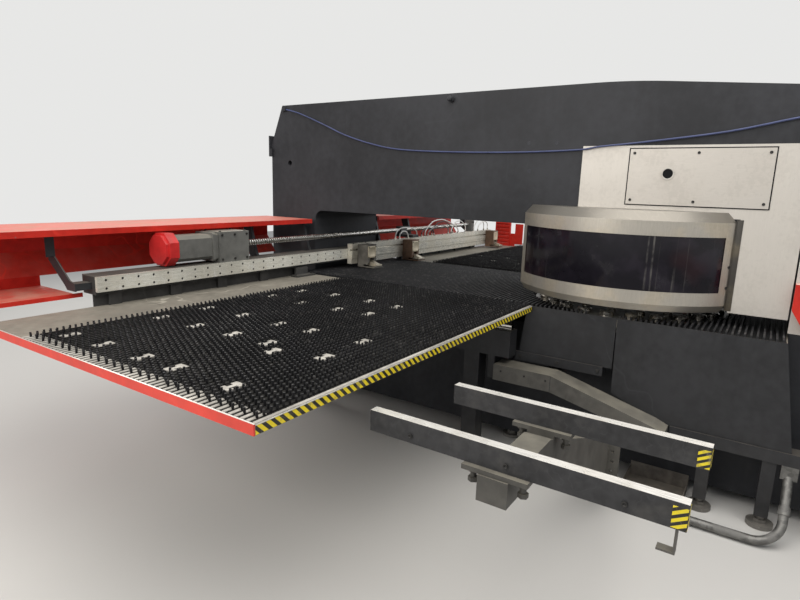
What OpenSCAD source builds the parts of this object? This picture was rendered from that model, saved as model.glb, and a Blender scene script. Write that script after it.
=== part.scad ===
// CNC turret punch press: a closed bridge frame over a brush table, with two
// turrets in its throat and a carriage that moves the sheet in X and Y.
// X runs along the carriage, Y from the front leg to the rear leg, Z is up.
// The origin is on the floor, at the centre of the machine's plan.

/* [Bridge frame] */
// From the centre to the front face of the frame
frame_front = 2200; // [2100:10:2300]
// From the centre to the rear face of the frame
frame_rear = 2170; // [2120:10:2250]
// Width of the frame across X
frame_w = 800; // [760:10:820]
// Height of the flat top above the floor
frame_h = 2204; // [2150:2:2400]
// Height of the underside above the floor
frame_z = 60; // [40:5:90]
// Height of the lower beam's top
bed_top = 800; // [780:5:815]
// Height of the upper beam's underside
throat_top = 1412; // [1380:2:1500]
// Front leg's inner face
throat_front_y = -1415; // [-1500:5:-1415]
// Rear leg's inner face
throat_rear_y = 1703; // [1703:1:1800]
// Radius of the throat's upper corners
throat_r = 68; // [20:2:120]
// Where the top starts to slope to the front
slope_y = -550; // [-900:10:-300]
// Slope of the front part of the top, in degrees
slope_angle = 5.4; // [3:0.2:7]
// Radius of the bend at the start of the slope
slope_r = 4000; // [1000:500:6000]
// Length of the chamfer at the top rear corner
chamfer_y = 120; // [60:10:200]
// Height of the chamfer at the top rear corner
chamfer_z = 290; // [150:10:400]

/* [Turrets] */
// Turret centre, from the machine's centre
turret_y = -570; // [-600:5:-560]
// Radius of both turret discs
turret_r = 560; // [550:2:570]
// Pitch radius of the outer stations
station_r = 500; // [495:1:505]
// Pitch radius of the inner stations
inner_station_r = 395; // [380:5:400]
// Number of outer stations
outer_stations = 24; // [18:2:26]
// Number of inner stations
inner_stations = 16; // [12:2:18]
// Radius of an outer station's bore
station_bore = 32; // [20:1:40]
// Radius of an inner station's bore
inner_bore = 18; // [12:1:24]
// Thickness of the upper disc
upper_disc_t = 90; // [70:5:100]
// Thickness of the lower disc
lower_disc_t = 76; // [60:4:90]
// Gap between the sheet and the punch guides
feed_gap = 28; // [20:1:34]
// Height of a punch assembly
punch_h = 242; // [200:2:260]
// Radius of the turret shafts
shaft_r = 80; // [60:2:95]
// Depth of the shaft bores in the frame
shaft_depth = 420; // [300:10:500]
// Radial clearance of a running fit
run_gap = 0.05; // [0.03:0.01:0.08]
// Gap between a turret's collar and its bearing ring
thrust_gap = 0.5; // [0.3:0.1:2]

/* [Ram] */
// Outer radius of the ram cylinder
ram_r = 125; // [100:5:140]
// Radius of the striker rod
striker_r = 35; // [25:1:45]
// Length of the ram cylinder inside the frame
ram_l = 520; // [400:10:600]
// Thickness of the ram cylinder's flange
ram_flange_t = 30; // [20:2:40]
// Stroke of the striker
ram_stroke = 40; // [30:1:45]

/* [Turret covers] */
// Outer radius of the covers about the turret centre
cover_r = 690; // [680:2:700]
// Bottom edge of the covers
cover_z0 = 1021; // [1010:1:1040]
// Top edge of the covers
cover_z1 = 1531; // [1500:1:1560]
// Height of the lower bevel
cover_bevel_low = 37; // [20:1:50]
// Height of the upper bevel
cover_bevel_top = 49; // [30:1:60]
// How far the bevels go in
cover_bevel_in = 35; // [15:1:45]
// Lower edge of the window
window_z0 = 1126; // [1110:2:1160]
// Upper edge of the window
window_z1 = 1408; // [1380:2:1420]
// Distance of the window from each end of the cover
window_end = 36; // [25:1:60]

/* [Cover sheets] */
// Thickness of sheet-metal covers
sheet_t = 3; // [2:0.5:4]
// How far the head panels stand off the frame
panel_gap = 6; // [4:1:10]
// Front and rear edges of the head panels
head_panel_y = [-1400, -326];
// Lower and upper edges of the head panels
head_panel_z = [1025, 1866];
// Front and rear edges of the access plates
access_y = [-1248, -584];
// Lower and upper edges of the access plates
access_z = [1557, 1848];
// Radius of the hole in the access plates
access_hole_r = 28; // [15:1:40]
// Place of that hole along the machine and above the floor
access_hole = [-781, 1720];
// Outer face of the black side panels, from the centre
side_x = 591; // [591:1:594]

/* [Tables] */
// Top of the wing tables above the floor
table_top = 950; // [940:1:960]
// Thickness of the wing tables
wing_t = 32; // [26:1:34]
// Inner edge of a wing table, from the centre
wing_in = 600; // [600:1:606]
// Outer edge of a wing table, from the centre
wing_out = 2710; // [2600:10:2800]
// Front edge of the wing tables, carriage at the rear
wing_front_y = -170; // [-172:1:-150]
// Rear edge of the wing tables
wing_rear_y = 1600; // [1600:5:1640]
// Rear edge of the brush field
brush_rear_y = 1240; // [1100:10:1260]
// Length of the bristles above the plates
bristle_h = 22; // [15:1:24]
// Spacing of the bristle rows
bristle_pitch = 26; // [20:1:40]
// Bare strip round a brush field
brush_margin = 22; // [15:1:40]
// How far the centre table lies below the wing tables
centre_drop = 10; // [8:1:14]
// Front edge of the centre table
centre_front_y = -1412; // [-1412:1:-1300]
// Rear edge of the centre table
centre_rear_y = 1690; // [1500:10:1700]
// Thickness of the table plates
plate_t = 6; // [4:1:10]
// Thickness of the red edge strips
edge_t = 6; // [4:1:8]

/* [X axis] */
// Half length of the X beam
beam_half = 2207; // [2150:1:2300]
// Front and rear faces of the X beam
beam_y = [1570, 1690];
// Lower and upper faces of the X beam
beam_z = [1014, 1109];
// Thickness of the polished guide bar
bar_t = 20; // [15:1:20]
// Lower and upper edges of the guide bar
bar_z = [1030, 1109];
// Spacing of the guide bar's screws
bar_pitch = 90; // [70:5:120]
// Axis of the X ball screw along Y and above the floor
x_screw_yz = [1667, 1210];
// Radius of the ball screws
screw_r = 20; // [16:1:22]
// Near and far ends of the X motor, from the centre
x_motor_x = [-1783, -1442];
// Near and far ends of the X gearbox, from the centre
x_gear_x = [-1419, -1186];
// Far end of the X ball screw
x_screw_end = 2190; // [2100:10:2200]

/* [X carriage] */
// Near and far ends of the carriage, as the photograph shows it
carriage_x = [-190, 2400];
// Lower and upper edges of the carriage
carriage_z = [990, 1150];
// Front face of the carriage
carriage_y = 1500; // [1500:1:1505]
// Centres of the three work clamps
clamp_x = [-60, 600, 2330];
// Centre of the ball nut's bracket
nut_x = 760; // [755:1:800]
// Width of a work clamp
clamp_w = 116; // [90:2:120]
// Depth of a work clamp's body
clamp_d = 100; // [80:2:104]
// How far the jaws reach in front of the clamp body
jaw_reach = 70; // [50:2:80]
// Opening of the jaws
jaw_gap = 6.5; // [5:0.5:8]

/* [Y axis] */
// Centre of the Y rails, from the centre
y_rail_x = 650; // [648:1:652]
// Width of the Y rails
y_rail_w = 35; // [25:1:45]
// Height of the Y rails
y_rail_h = 30; // [24:1:34]
// Front and rear ends of the Y rails
y_rail_y = [-90, 1690];
// Axis of the Y ball screw, from the centre and above the floor
y_screw_xz = [-500, 770];

/* [Hoods] */
// Front edge of the hoods
hood_y0 = 1700; // [1700:1:1720]
// Rear face of the hoods
hood_y1 = 2200; // [2150:5:2250]
// Top of the hoods
hood_top = 1345; // [1335:1:1390]
// Underside of the hoods
hood_low = 1000; // [990:1:1005]
// Height of the front flange
hood_lip = 32; // [25:1:34]
// Outer end of the hoods, from the centre
hood_out = 2700; // [2600:10:2750]
// Inner end of the hoods, from the centre
hood_in = 440; // [430:5:500]

/* [Support arms] */
// Centres of the outer and inner arms, from the centre
arm_x = [2205, 1800];
// Front ends of the outer and inner arms
arm_front_y = [-1212, -1226];
// Rear ends of the outer and inner arms
arm_rear_y = [-213, -324];
// Top of the arms above the floor
arm_top = 850; // [800:5:880]
// Height of an arm
arm_h = 76; // [60:2:90]
// Width of an arm
arm_w = 38; // [30:1:50]
// Front and rear faces of the cross beam
cross_y = [-740, -640];
// Size of the cross beam's section in height
cross_h = 85; // [70:5:100]

/* [Hidden] */
$fn = 64;
sheet_z = table_top + bristle_h;
centre_top = table_top - centre_drop;
centre_half = side_x - sheet_t;
half_w = frame_w / 2;
panel_x = half_w + panel_gap;
punch_y = turret_y + station_r;
upper_disc_z = sheet_z + feed_gap + 12;
punch_top = sheet_z + feed_gap + punch_h;
lower_disc_z = centre_top - lower_disc_t;
wing_low = table_top - wing_t;
bar_front = beam_y[0] - bar_t;
cross_top = arm_top - arm_h - 16;
saddle_low = bed_top + y_rail_h + 30;

// A box between two corners.
module box(low, high) {
    translate(low)
        cube(high - low);
}

// A profile in Y and Z, extruded along X from x0 to x1.
module along_x(x0, x1) {
    translate([x0, 0, 0])
        rotate([90, 0, 90])
            linear_extrude(x1 - x0)
                children();
}

// A profile in X and Z, extruded along Y from y0 to y1.
module along_y(y0, y1) {
    translate([0, y1, 0])
        rotate([90, 0, 0])
            linear_extrude(y1 - y0)
                children();
}

// A round bar along X between two places.
module x_bar(x0, x1, y, z, r) {
    translate([x0, y, z])
        rotate([0, 90, 0])
            cylinder(h = x1 - x0, r = r);
}

// A round bar along Y between two places.
module y_bar(x, y0, y1, z, r) {
    translate([x, y1, z])
        rotate([90, 0, 0])
            cylinder(h = y1 - y0, r = r);
}

// Draws for the left side, or mirrored for the right side.
module on_side(side) {
    mirror([side > 0 ? 1 : 0, 0, 0])
        children();
}

// Draws on both sides of the machine.
module both_sides() {
    children();
    mirror([1, 0, 0])
        children();
}

// Rectangle with round upper corners, from low to high.
module arch(low, high, r) {
    translate([low[0], low[1]])
        square([high[0] - low[0], high[1] - low[1] - r]);
    translate([low[0] + r, low[1]])
        square([high[0] - low[0] - 2 * r, high[1] - low[1]]);
    for (y = [low[0] + r, high[0] - r])
        translate([y, high[1] - r])
            circle(r);
}

// Frame

// Points of the bend where the frame's top starts to slope.
function slope_bend(steps = 6) = [
    for (i = [0:steps])
        let (a = slope_angle * i / steps, back = slope_r * tan(slope_angle / 2))
            [slope_y + back - slope_r * sin(a), frame_h - slope_r * (1 - cos(a))]
];

module frame_outline() {
    polygon(concat(
        [
            [-frame_front, frame_z],
            [frame_rear, frame_z],
            [frame_rear, frame_h - chamfer_z],
            [frame_rear - chamfer_y, frame_h],
        ],
        slope_bend(),
        [[-frame_front, frame_h - (frame_front + slope_y) * tan(slope_angle)]]
    ));
}

// Plug and screw holes in the left face, each [y, z, radius].
frame_holes = [[0, 1889, 12], [-170, 1887, 12], [-12, 1727, 12], [-184, 1728, 12]];
column_hole = [1972, 1768, 20];
hole_depth = 40;
// The frame's rear column is welded on where the throat's round corner starts.
column_y = throat_rear_y - throat_r;

// The frame's side shape, without what lies between the places cut_y.
module frame_block(cut_y) {
    along_x(-half_w, half_w)
        difference() {
            frame_outline();
            arch([throat_front_y, bed_top], [throat_rear_y, throat_top], throat_r);
            translate([cut_y[0], 0])
                square([cut_y[1] - cut_y[0], frame_h + 1]);
        }
}

module rear_column() {
    color("#3a3a3d")
    difference() {
        frame_block([-frame_front - 1, column_y]);
        x_bar(-half_w - 1, -half_w + hole_depth, column_hole[0], column_hole[1], column_hole[2]);
    }
}

module bridge_frame() {
    color("#3a3a3d")
    difference() {
        frame_block([column_y, frame_rear + 1]);
        translate([0, turret_y, throat_top])
            cylinder(h = shaft_depth, r = shaft_r + run_gap);
        translate([0, turret_y, bed_top - shaft_depth])
            cylinder(h = shaft_depth, r = shaft_r + run_gap);
        translate([0, punch_y, throat_top])
            cylinder(h = ram_l, r = ram_r);
        for (hole = frame_holes)
            x_bar(-half_w - 1, -half_w + hole_depth, hole[0], hole[1], hole[2]);
    }
}

// Side structure that carries the Y rail, the outrigger and the front skirt.
side_beam_x = [700, 600];
side_beam_low = 640;
skirt_rail_x = [600, 510];
skirt_rail_z = [357, 420];
skirt_post_y = [-1145, -1420, -1750, -2080];
outrigger_x = [735, 595];
side_rib_y = [20, 800, 1640];
rib_t = 40;
rib_z = [500, 700];

module side_frame(side) {
    color("#333437")
    on_side(side) {
        box([-side_beam_x[0], y_rail_y[0], side_beam_low], [-side_beam_x[1], y_rail_y[1], bed_top]);
        // cross ribs from the frame to the side beam, the outrigger and the skirt
        for (y = side_rib_y) {
            box([-side_beam_x[1], y - rib_t / 2, rib_z[0]], [-half_w, y + rib_t / 2, rib_z[1]]);
            box(
                [-side_beam_x[0], y - rib_t / 2, rib_z[0]],
                [-side_beam_x[1], y + rib_t / 2, side_beam_low]
            );
        }
        for (y = [150, 1500])
            box([-side_beam_x[0], y - 50, frame_z], [-side_beam_x[1], y + 50, side_beam_low]);
        box([-outrigger_x[1], -320, 515], [-half_w, -280, 590]);
        box([-outrigger_x[1], -820, 400], [-half_w, -780, 450]);
        box([-skirt_rail_x[0], -2150, skirt_rail_z[0]], [-skirt_rail_x[1], -968, skirt_rail_z[1]]);
        for (y = skirt_post_y) {
            box([-590, y - 30, frame_z], [-520, y + 30, skirt_rail_z[0]]);
            box([-skirt_rail_x[1], y - 30, skirt_rail_z[0]], [-half_w, y + 30, skirt_rail_z[1]]);
        }
    }
}

// Feet under the frame, each with a jack screw and an anchor hole.
foot_y = [-frame_front + 90, frame_rear - 90];
foot_hole_x = 445;
foot_hole_r = 13;
foot_t = 20;

module anchor_foot() {
    difference() {
        box([-490, -80, 0], [-260, 80, foot_t]);
        translate([-foot_hole_x, 0, -1])
            cylinder(h = foot_t + 2, r = foot_hole_r);
    }
    translate([-330, 0, foot_t]) {
        cylinder(h = frame_z - foot_t, r = 24);
        cylinder(h = 22, r = 38, $fn = 6);
    }
}

module plain_foot() {
    cylinder(h = foot_t, r = 60);
    translate([0, 0, foot_t]) {
        cylinder(h = frame_z - foot_t, r = 18);
        cylinder(h = 18, r = 30, $fn = 6);
    }
}

module levelling_feet() {
    color("#6e6f70")
    both_sides() {
        for (y = foot_y)
            translate([0, y, 0])
                anchor_foot();
        translate([-330, 0, 0])
            plain_foot();
        for (y = [150, 1500])
            translate([-650, y, 0])
                plain_foot();
        for (y = skirt_post_y)
            translate([-555, y, 0])
                plain_foot();
    }
}

// Covers of the head

// Inner edge of the head panel where the turret cover passes.
cover_chord = sqrt(cover_r * cover_r - panel_x * panel_x);
cover_top_r = cover_r - cover_bevel_in;

module head_panel_outline() {
    notch_y = turret_y - cover_chord - 12;
    polygon([
        [head_panel_y[0], head_panel_z[0]],
        [notch_y, head_panel_z[0]],
        [notch_y, cover_z1 - 30],
        [head_panel_y[1], cover_z1 - 30],
        [head_panel_y[1], head_panel_z[1]],
        [head_panel_y[0], head_panel_z[1]],
    ]);
}

// Head panel, and the plain panel on the front leg beside it.
module head_panels() {
    color("#c9c5bd")
    both_sides() {
        along_x(-panel_x, -half_w)
            head_panel_outline();
        box(
            [-panel_x + 2, -frame_front + 10, 960],
            [-half_w, head_panel_y[0] - 8, head_panel_z[1] - 60]
        );
    }
}

module access_plates() {
    color("#cfccc5")
    both_sides()
        along_x(-panel_x - sheet_t, -panel_x)
            difference() {
                translate([access_y[0], access_z[0]])
                    square([access_y[1] - access_y[0], access_z[1] - access_z[0]]);
                translate(access_hole)
                    circle(access_hole_r);
            }
}

// Button-head screws of the access plates and the turret covers.
screw_in = 22;
cover_screw_z = [1152, 1259];
cover_screw_angle = asin(cover_chord / cover_r) - 1.2;

module cover_screws() {
    color("#2b2b2b")
    both_sides() {
        for (y = [access_y[0] + screw_in, (access_y[0] + access_y[1]) / 2, access_y[1] - screw_in])
            for (z = [access_z[0] + screw_in, access_z[1] - screw_in])
                x_bar(-panel_x - sheet_t - 4, -panel_x - sheet_t, y, z, 7);
        // two on each cover's front end strip, square to its curve
        for (z = cover_screw_z)
            translate([0, turret_y, z])
                rotate([0, 0, 180 + cover_screw_angle])
                    x_bar(cover_r + 0.05, cover_r + 3, 0, 0, 6);
    }
}

// Section of the turret cover: a band with a bevel above and below.
module cover_section() {
    low_r = cover_r - cover_bevel_in / 1.6;
    polygon([
        [panel_x * 0.6, cover_z1],
        [cover_top_r, cover_z1],
        [cover_r, cover_z1 - cover_bevel_top],
        [cover_r, cover_z0 + cover_bevel_low],
        [low_r, cover_z0],
        [low_r - 30, cover_z0],
        [low_r - 30, cover_z0 + sheet_t],
        [low_r - 2, cover_z0 + sheet_t],
        [cover_r - sheet_t, cover_z0 + cover_bevel_low + 1],
        [cover_r - sheet_t, cover_z1 - cover_bevel_top - 1],
        [cover_top_r - 1.5, cover_z1 - sheet_t],
        [panel_x * 0.6, cover_z1 - sheet_t],
    ]);
}

module turret_cover(side) {
    color("#b9b4a8")
    on_side(side)
        difference() {
            intersection() {
                translate([0, turret_y, 0])
                    rotate_extrude($fn = 128)
                        cover_section();
                box(
                    [-cover_r - 10, turret_y - cover_r, cover_z0 - 5],
                    [-panel_x, turret_y + cover_r, cover_z1 + 5]
                );
            }
            box(
                [-cover_r - 20, turret_y - cover_chord + window_end, window_z0],
                [-panel_x - 5, turret_y + cover_chord - window_end, window_z1]
            );
        }
}

// Tinted windows, bent to the covers and fixed behind them.
window_lap = 14;

module cover_windows() {
    high = window_z1 - window_z0 + 2 * window_lap;
    color("#1c1a20")
    both_sides()
        intersection() {
            translate([0, turret_y, window_z0 - window_lap])
                difference() {
                    cylinder(h = high, r = cover_r - sheet_t - 0.3, $fn = 128);
                    translate([0, 0, -1])
                        cylinder(h = high + 2, r = cover_r - sheet_t - 4.3, $fn = 128);
                }
            box(
                [-cover_r, turret_y - cover_chord + window_end - window_lap, window_z0 - 20],
                [-panel_x - 2, turret_y + cover_chord - window_end + window_lap, window_z1 + 20]
            );
        }
}

// Centre table and its skirt

turret_hole_r = turret_r + 10;
centre_rib_x = [360, 130];
centre_rib_t = 20;

module centre_table() {
    plate_low = centre_top - plate_t;
    color("#85827b")
    difference() {
        union() {
            box([-centre_half, centre_front_y, plate_low], [centre_half, centre_rear_y, centre_top]);
            both_sides() {
                // folded edge of the plate
                box(
                    [-centre_half, centre_front_y, centre_top - 40],
                    [-centre_half + plate_t, centre_rear_y, plate_low]
                );
                // ribs that stand on the lower beam
                for (y = [
                    [turret_y + turret_r + 30, centre_rear_y],
                    [centre_front_y, turret_y - turret_r - 30],
                ])
                    for (x = centre_rib_x)
                        box([-x - centre_rib_t, y[0], bed_top], [-x, y[1], plate_low]);
            }
        }
        translate([0, turret_y, bed_top - 1])
            cylinder(h = table_top - bed_top, r = turret_hole_r, $fn = 96);
    }
}

// Comb of bristle rows across a width, as a profile over a mat.
module bristle_comb(width, mat_t, height) {
    rows = floor(width / bristle_pitch);
    step = width / rows;
    foot = step * 0.62;
    tip = step * 0.3;
    polygon(concat(
        [[0, 0]],
        [
            for (i = [0:rows - 1])
                let (mid = (i + 0.5) * step)
                    each [
                        [mid - foot / 2, mat_t], [mid - tip / 2, height],
                        [mid + tip / 2, height], [mid + foot / 2, mat_t],
                    ]
        ],
        [[width, 0]]
    ));
}

module centre_brush() {
    width = 2 * (centre_half - 3);
    color("#1b1b1c")
    difference() {
        along_y(centre_front_y + 4, centre_rear_y - 20)
            translate([-width / 2, centre_top])
                bristle_comb(width, 3, bristle_h);
        translate([0, turret_y, centre_top - 1])
            cylinder(h = bristle_h + 2, r = turret_hole_r, $fn = 96);
    }
}

// Black side panels: a plain one at the rear and a shaped one at the front.
rear_panel_z = 665;

module side_panels() {
    color("#2a2a2d")
    both_sides() {
        along_x(-side_x, -side_x + sheet_t)
            polygon([[-645, rear_panel_z], [-108, rear_panel_z], [-140, table_top], [-645, table_top]]);
        along_x(-side_x, -side_x + sheet_t)
            polygon([
                [-648, table_top],
                [-655, 530],
                [-895, skirt_rail_z[1] + 2],
                [-968, skirt_rail_z[1]],
                [-1500, skirt_rail_z[1]],
                [centre_front_y, table_top],
            ]);
        // flat bar bolted along the rear panel's lower edge
        box([-side_x - 12, -600, 615], [-side_x, y_rail_y[0] - 2, rear_panel_z + 2]);
        box([-side_x, -600, 625], [-side_x + 40, -560, rear_panel_z]);
    }
}

// Low beams that run forward under the tables, flat and then sloping down.
module outriggers() {
    color("#55554f")
    both_sides()
        along_x(-outrigger_x[0], -outrigger_x[1])
            polygon([
                [-12, 505], [-12, 600], [-355, 600], [-900, 447],
                [-960, 421], [-960, 357], [-740, 413], [-357, 505],
            ]);
}

// Support arms

module support_arms() {
    color("#4a4a4a")
    both_sides()
        for (i = [0, 1])
            box(
                [-arm_x[i] - arm_w / 2, arm_front_y[i], arm_top - arm_h],
                [-arm_x[i] + arm_w / 2, arm_rear_y[i], arm_top]
            );
}

// Cross beam under the arms, with the upright plate that carries it.
cross_bend_x = 1870;
flange_x = 912;
flange_t = 12;
flange_z = [175, 418];
flange_over = 55;
flange_hole_r = 8;
flange_hole_z = [231, 285, 339];

// Height of the sloped strut's top at a distance from the centre.
function strut_top(x) =
    cross_top - (cross_bend_x - x) * (cross_top - flange_z[1] + 8) / (cross_bend_x - flange_x);

module cross_beams() {
    color("#6d6a66")
    both_sides() {
        // level beam under the arms, and the deeper strut down to its flange
        along_y(cross_y[0], cross_y[1])
            polygon([
                [-arm_x[0] - 45, cross_top - cross_h], [-cross_bend_x, cross_top - cross_h],
                [-flange_x, flange_z[0]], [-flange_x, strut_top(flange_x)],
                [-cross_bend_x, cross_top], [-arm_x[0] - 45, cross_top],
            ]);
        // saddle that levels the inner arm's seat
        along_y(cross_y[0], cross_y[1])
            polygon([
                [-arm_x[1] - 40, cross_top], [-arm_x[1] - 40, strut_top(arm_x[1] + 40) - 1],
                [-arm_x[1] + 40, strut_top(arm_x[1] - 40) - 1], [-arm_x[1] + 40, cross_top],
            ]);
        difference() {
            box(
                [-flange_x, cross_y[0] - flange_over, flange_z[0]],
                [-flange_x + flange_t, cross_y[1] + flange_over, flange_z[1]]
            );
            for (y = [cross_y[0] - 22, cross_y[1] + 22], z = flange_hole_z)
                x_bar(-flange_x - 1, -flange_x + flange_t + 1, y, z, flange_hole_r);
        }
        // bracket from the flange to the frame's side
        box(
            [-flange_x + flange_t, cross_y[0] + 12, flange_z[0] + 15],
            [-half_w, cross_y[1] - 12, flange_z[1] - 28]
        );
    }
}

// Seat plates between the arms and the cross beam, with levelling bolts.
seat_half = 108;

module arm_seat(x) {
    mid = (cross_y[0] + cross_y[1]) / 2;
    difference() {
        box([x - 40, mid - seat_half, cross_top], [x + 40, mid + seat_half, cross_top + 16]);
        for (y = [mid - seat_half + 25, mid + seat_half - 25])
            translate([x, y, cross_top - 1])
                cylinder(h = 18, r = 10);
    }
    for (y = [mid - seat_half + 25, mid + seat_half - 25])
        translate([x, y, cross_top - 50]) {
            cylinder(h = 66, r = 9.9);
            translate([0, 0, 32])
                cylinder(h = 16, r = 17, $fn = 6);
            cylinder(h = 14, r = 17, $fn = 6);
        }
}

module arm_seats() {
    color("#8a8782")
    both_sides() {
        for (x = arm_x)
            arm_seat(-x);
        // strap under the outer arm's front end
        translate([-arm_x[0], arm_front_y[0] + 20, arm_top - arm_h - 76]) {
            box([-14, 0, 6], [14, 6, 76]);
            box([-14, 0, 0], [14, 46, 6]);
        }
    }
}

// Red louvred guards beside the front leg.
guard_x = 470;

module louvre_guards() {
    color("#c23b2c")
    both_sides() {
        difference() {
            along_x(-guard_x, -panel_x - 2)
                polygon([
                    [-1500, 940], [-1408, 1085], [-1408, 1212],
                    [-frame_front + 40, 1212], [-frame_front + 40, 940],
                ]);
            for (i = [0:4])
                box(
                    [-guard_x - 1, -frame_front + 80, 985 + i * 42],
                    [-guard_x + 18, i < 2 ? -1520 : -1450, 1003 + i * 42]
                );
        }
        box([-panel_x - 2, -frame_front + 60, 1000], [-panel_x + 2, -1600, 1180]);
    }
}

// Sheet-metal trays on the floor for slugs and chips.
tray_y = [-1075, -770];
tray_h = 56;
tray_out = 640;
tray_lap = 25;

module chip_trays() {
    color("#6b655c")
    both_sides()
        difference() {
            union() {
                box([-tray_out, tray_y[0], 0], [-half_w, tray_y[1], tray_h]);
                // back wall that leans on the frame
                box([-half_w - sheet_t, tray_y[0], 0], [-half_w, tray_y[1], frame_z + tray_lap]);
            }
            box(
                [-tray_out + sheet_t, tray_y[0] + sheet_t, sheet_t],
                [-half_w - sheet_t, tray_y[1] - sheet_t, tray_h + 1]
            );
        }
}

// Rigid conduit on the floor that turns up to the skirt rail.
conduit_r = 21;
conduit_start = [-775, 26.5];
conduit_y = [-1504, -250];
conduit_bend = 120;
conduit_end = [-555, skirt_rail_z[0]];

module supply_conduit() {
    rise = [conduit_end[0] - conduit_start[0], conduit_end[1] - 30 - conduit_start[1]];
    tilt = atan2(rise[0], rise[1]);
    color("#a9a7a2") {
        translate([conduit_start[0], 0, conduit_start[1]])
            rotate([0, tilt, 0]) {
                y_bar(0, conduit_y[0] + conduit_bend, conduit_y[1], 0, conduit_r);
                y_bar(0, -900, -840, 0, conduit_r + 5);
                translate([0, conduit_y[0] + conduit_bend, conduit_bend])
                    mirror([0, 1, 0])
                        rotate([0, 90, 0])
                            rotate_extrude(angle = 90)
                                translate([conduit_bend, 0])
                                    circle(conduit_r);
                translate([0, conduit_y[0], conduit_bend])
                    cylinder(h = norm(rise) - conduit_bend - 20, r = conduit_r);
                translate([0, conduit_y[0], conduit_bend + 30])
                    cylinder(h = 40, r = conduit_r + 5);
            }
        translate([conduit_end[0], conduit_y[0], conduit_end[1]])
            box([-40, -35, -70], [35, 35, 0]);
    }
}

// Lifting eyes on the upper beam's sides, the bracket at the rear corner
// and the gland blocks at the signal cable's two ends.
eye_y = [538, -1500];
eye_drop = 36;
bracket_x = [-423, -306];
bracket_z = [frame_h - 386, frame_h - 226];
gland_gap = [1.4, 0.5];

// Round lug that a sling hooks over, standing from z = 0.
module lifting_button() {
    rotate_extrude()
        polygon([[0, 0], [20, 0], [20, 12], [9, 14], [9, 20], [15, 24], [18, 30], [15, 38], [8, 42], [0, 42]]);
}

module frame_fittings() {
    first = cable_route[0];
    last = cable_route[len(cable_route) - 1];
    color("#4c4d50") {
        both_sides()
            for (y = eye_y) {
                z = frame_h - eye_drop - max(0, slope_y - y) * tan(slope_angle);
                translate([-half_w, y, z])
                    rotate([0, -90, 0])
                        lifting_button();
            }
        box([bracket_x[0], frame_rear, bracket_z[0]], [bracket_x[1], frame_rear + 12, bracket_z[1]]);
        box([bracket_x[0], frame_rear - 20, bracket_z[0]], [-half_w, frame_rear, bracket_z[0] + 60]);
        // the cable's ends are a little off square, so each block stands off by its gap
        box([-half_w - 18, first[1] + gland_gap[0], first[2] - 10], [-half_w, first[1] + 40, first[2] + 14]);
        box([-half_w - 18, last[1] - 40, last[2] - 12], [-half_w, last[1] - gland_gap[1], last[2] + 12]);
    }
}

// Signal cable

// Route of the cable along the frame's left face, from the rear corner to the front.
cable_r = 5;
cable_route = [
    [-408, 2000, 2172], [-408, 1930, 2156], [-412, 1830, 2128], [-409, 1620, 2050],
    [-408, 1410, 1968], [-408, 1170, 1902], [-408, 920, 1860], [-408, 490, 1840],
    [-408, 50, 1836], [-412, -300, 1846], [-418, -420, 1862], [-414, -640, 1882],
    [-412, -1030, 1926], [-410, -1315, 1982], [-409, -1500, 2006], [-409, -1640, 2010],
];

// A point between b and c on a smooth curve through a, b, c and d.
function curve_point(a, b, c, d, t) =
    0.5 * (2 * b + (c - a) * t + (2 * a - 5 * b + 4 * c - d) * t * t + (3 * b - a - 3 * c + d) * t * t * t);

// Points of a smooth curve through a route, with steps points in each stretch.
function smooth_route(route, steps) = [
    for (i = [0:len(route) - 2], k = [0:steps - 1])
        curve_point(
            route[max(i - 1, 0)], route[i], route[i + 1],
            route[min(i + 2, len(route) - 1)], k / steps
        ),
    route[len(route) - 1],
];

// One ring of points round a place on the curve, square to its direction.
function ring_at(path, i, r, sides) =
    let (
        d = path[min(i + 1, len(path) - 1)] - path[max(i - 1, 0)],
        f = d / norm(d),
        u = [1, 0, 0] - f * f[0],
        side = u / norm(u),
        up = cross(f, side)
    )
    [for (k = [0:sides - 1]) path[i] + r * (cos(360 * k / sides) * side + sin(360 * k / sides) * up)];

module tube(path, r, sides) {
    rings = [for (i = [0:len(path) - 1]) each ring_at(path, i, r, sides)];
    last = len(path) - 1;
    walls = [
        for (i = [0:last - 1], k = [0:sides - 1])
            let (a = i * sides, b = a + sides, next = (k + 1) % sides)
                [a + k, a + next, b + next, b + k]
    ];
    near_end = [for (k = [0:sides - 1]) sides - 1 - k];
    far_end = [for (k = [0:sides - 1]) last * sides + k];
    polyhedron(points = rings, faces = concat([near_end], walls, [far_end]));
}

module signal_cable() {
    color("#4b5166")
        tube(smooth_route(cable_route, 4), cable_r, 8);
}

// Y axis

module y_rails() {
    color("#c4c4c0")
    both_sides()
        along_y(y_rail_y[0] + 10, y_rail_y[1] - 10)
            translate([-y_rail_x - y_rail_w / 2, bed_top])
                polygon([
                    [0, 0], [y_rail_w, 0], [y_rail_w, y_rail_h * 0.35], [y_rail_w - 5, y_rail_h * 0.5],
                    [y_rail_w, y_rail_h * 0.7], [y_rail_w, y_rail_h], [0, y_rail_h],
                    [0, y_rail_h * 0.7], [5, y_rail_h * 0.5], [0, y_rail_h * 0.35],
                ]);
}

// Motor and end bearings of the Y ball screw, on the left side's ribs.
y_bearing_y = [side_rib_y[0] - rib_t / 2, side_rib_y[2] - rib_t / 2];
bearing_l = rib_t;

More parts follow.
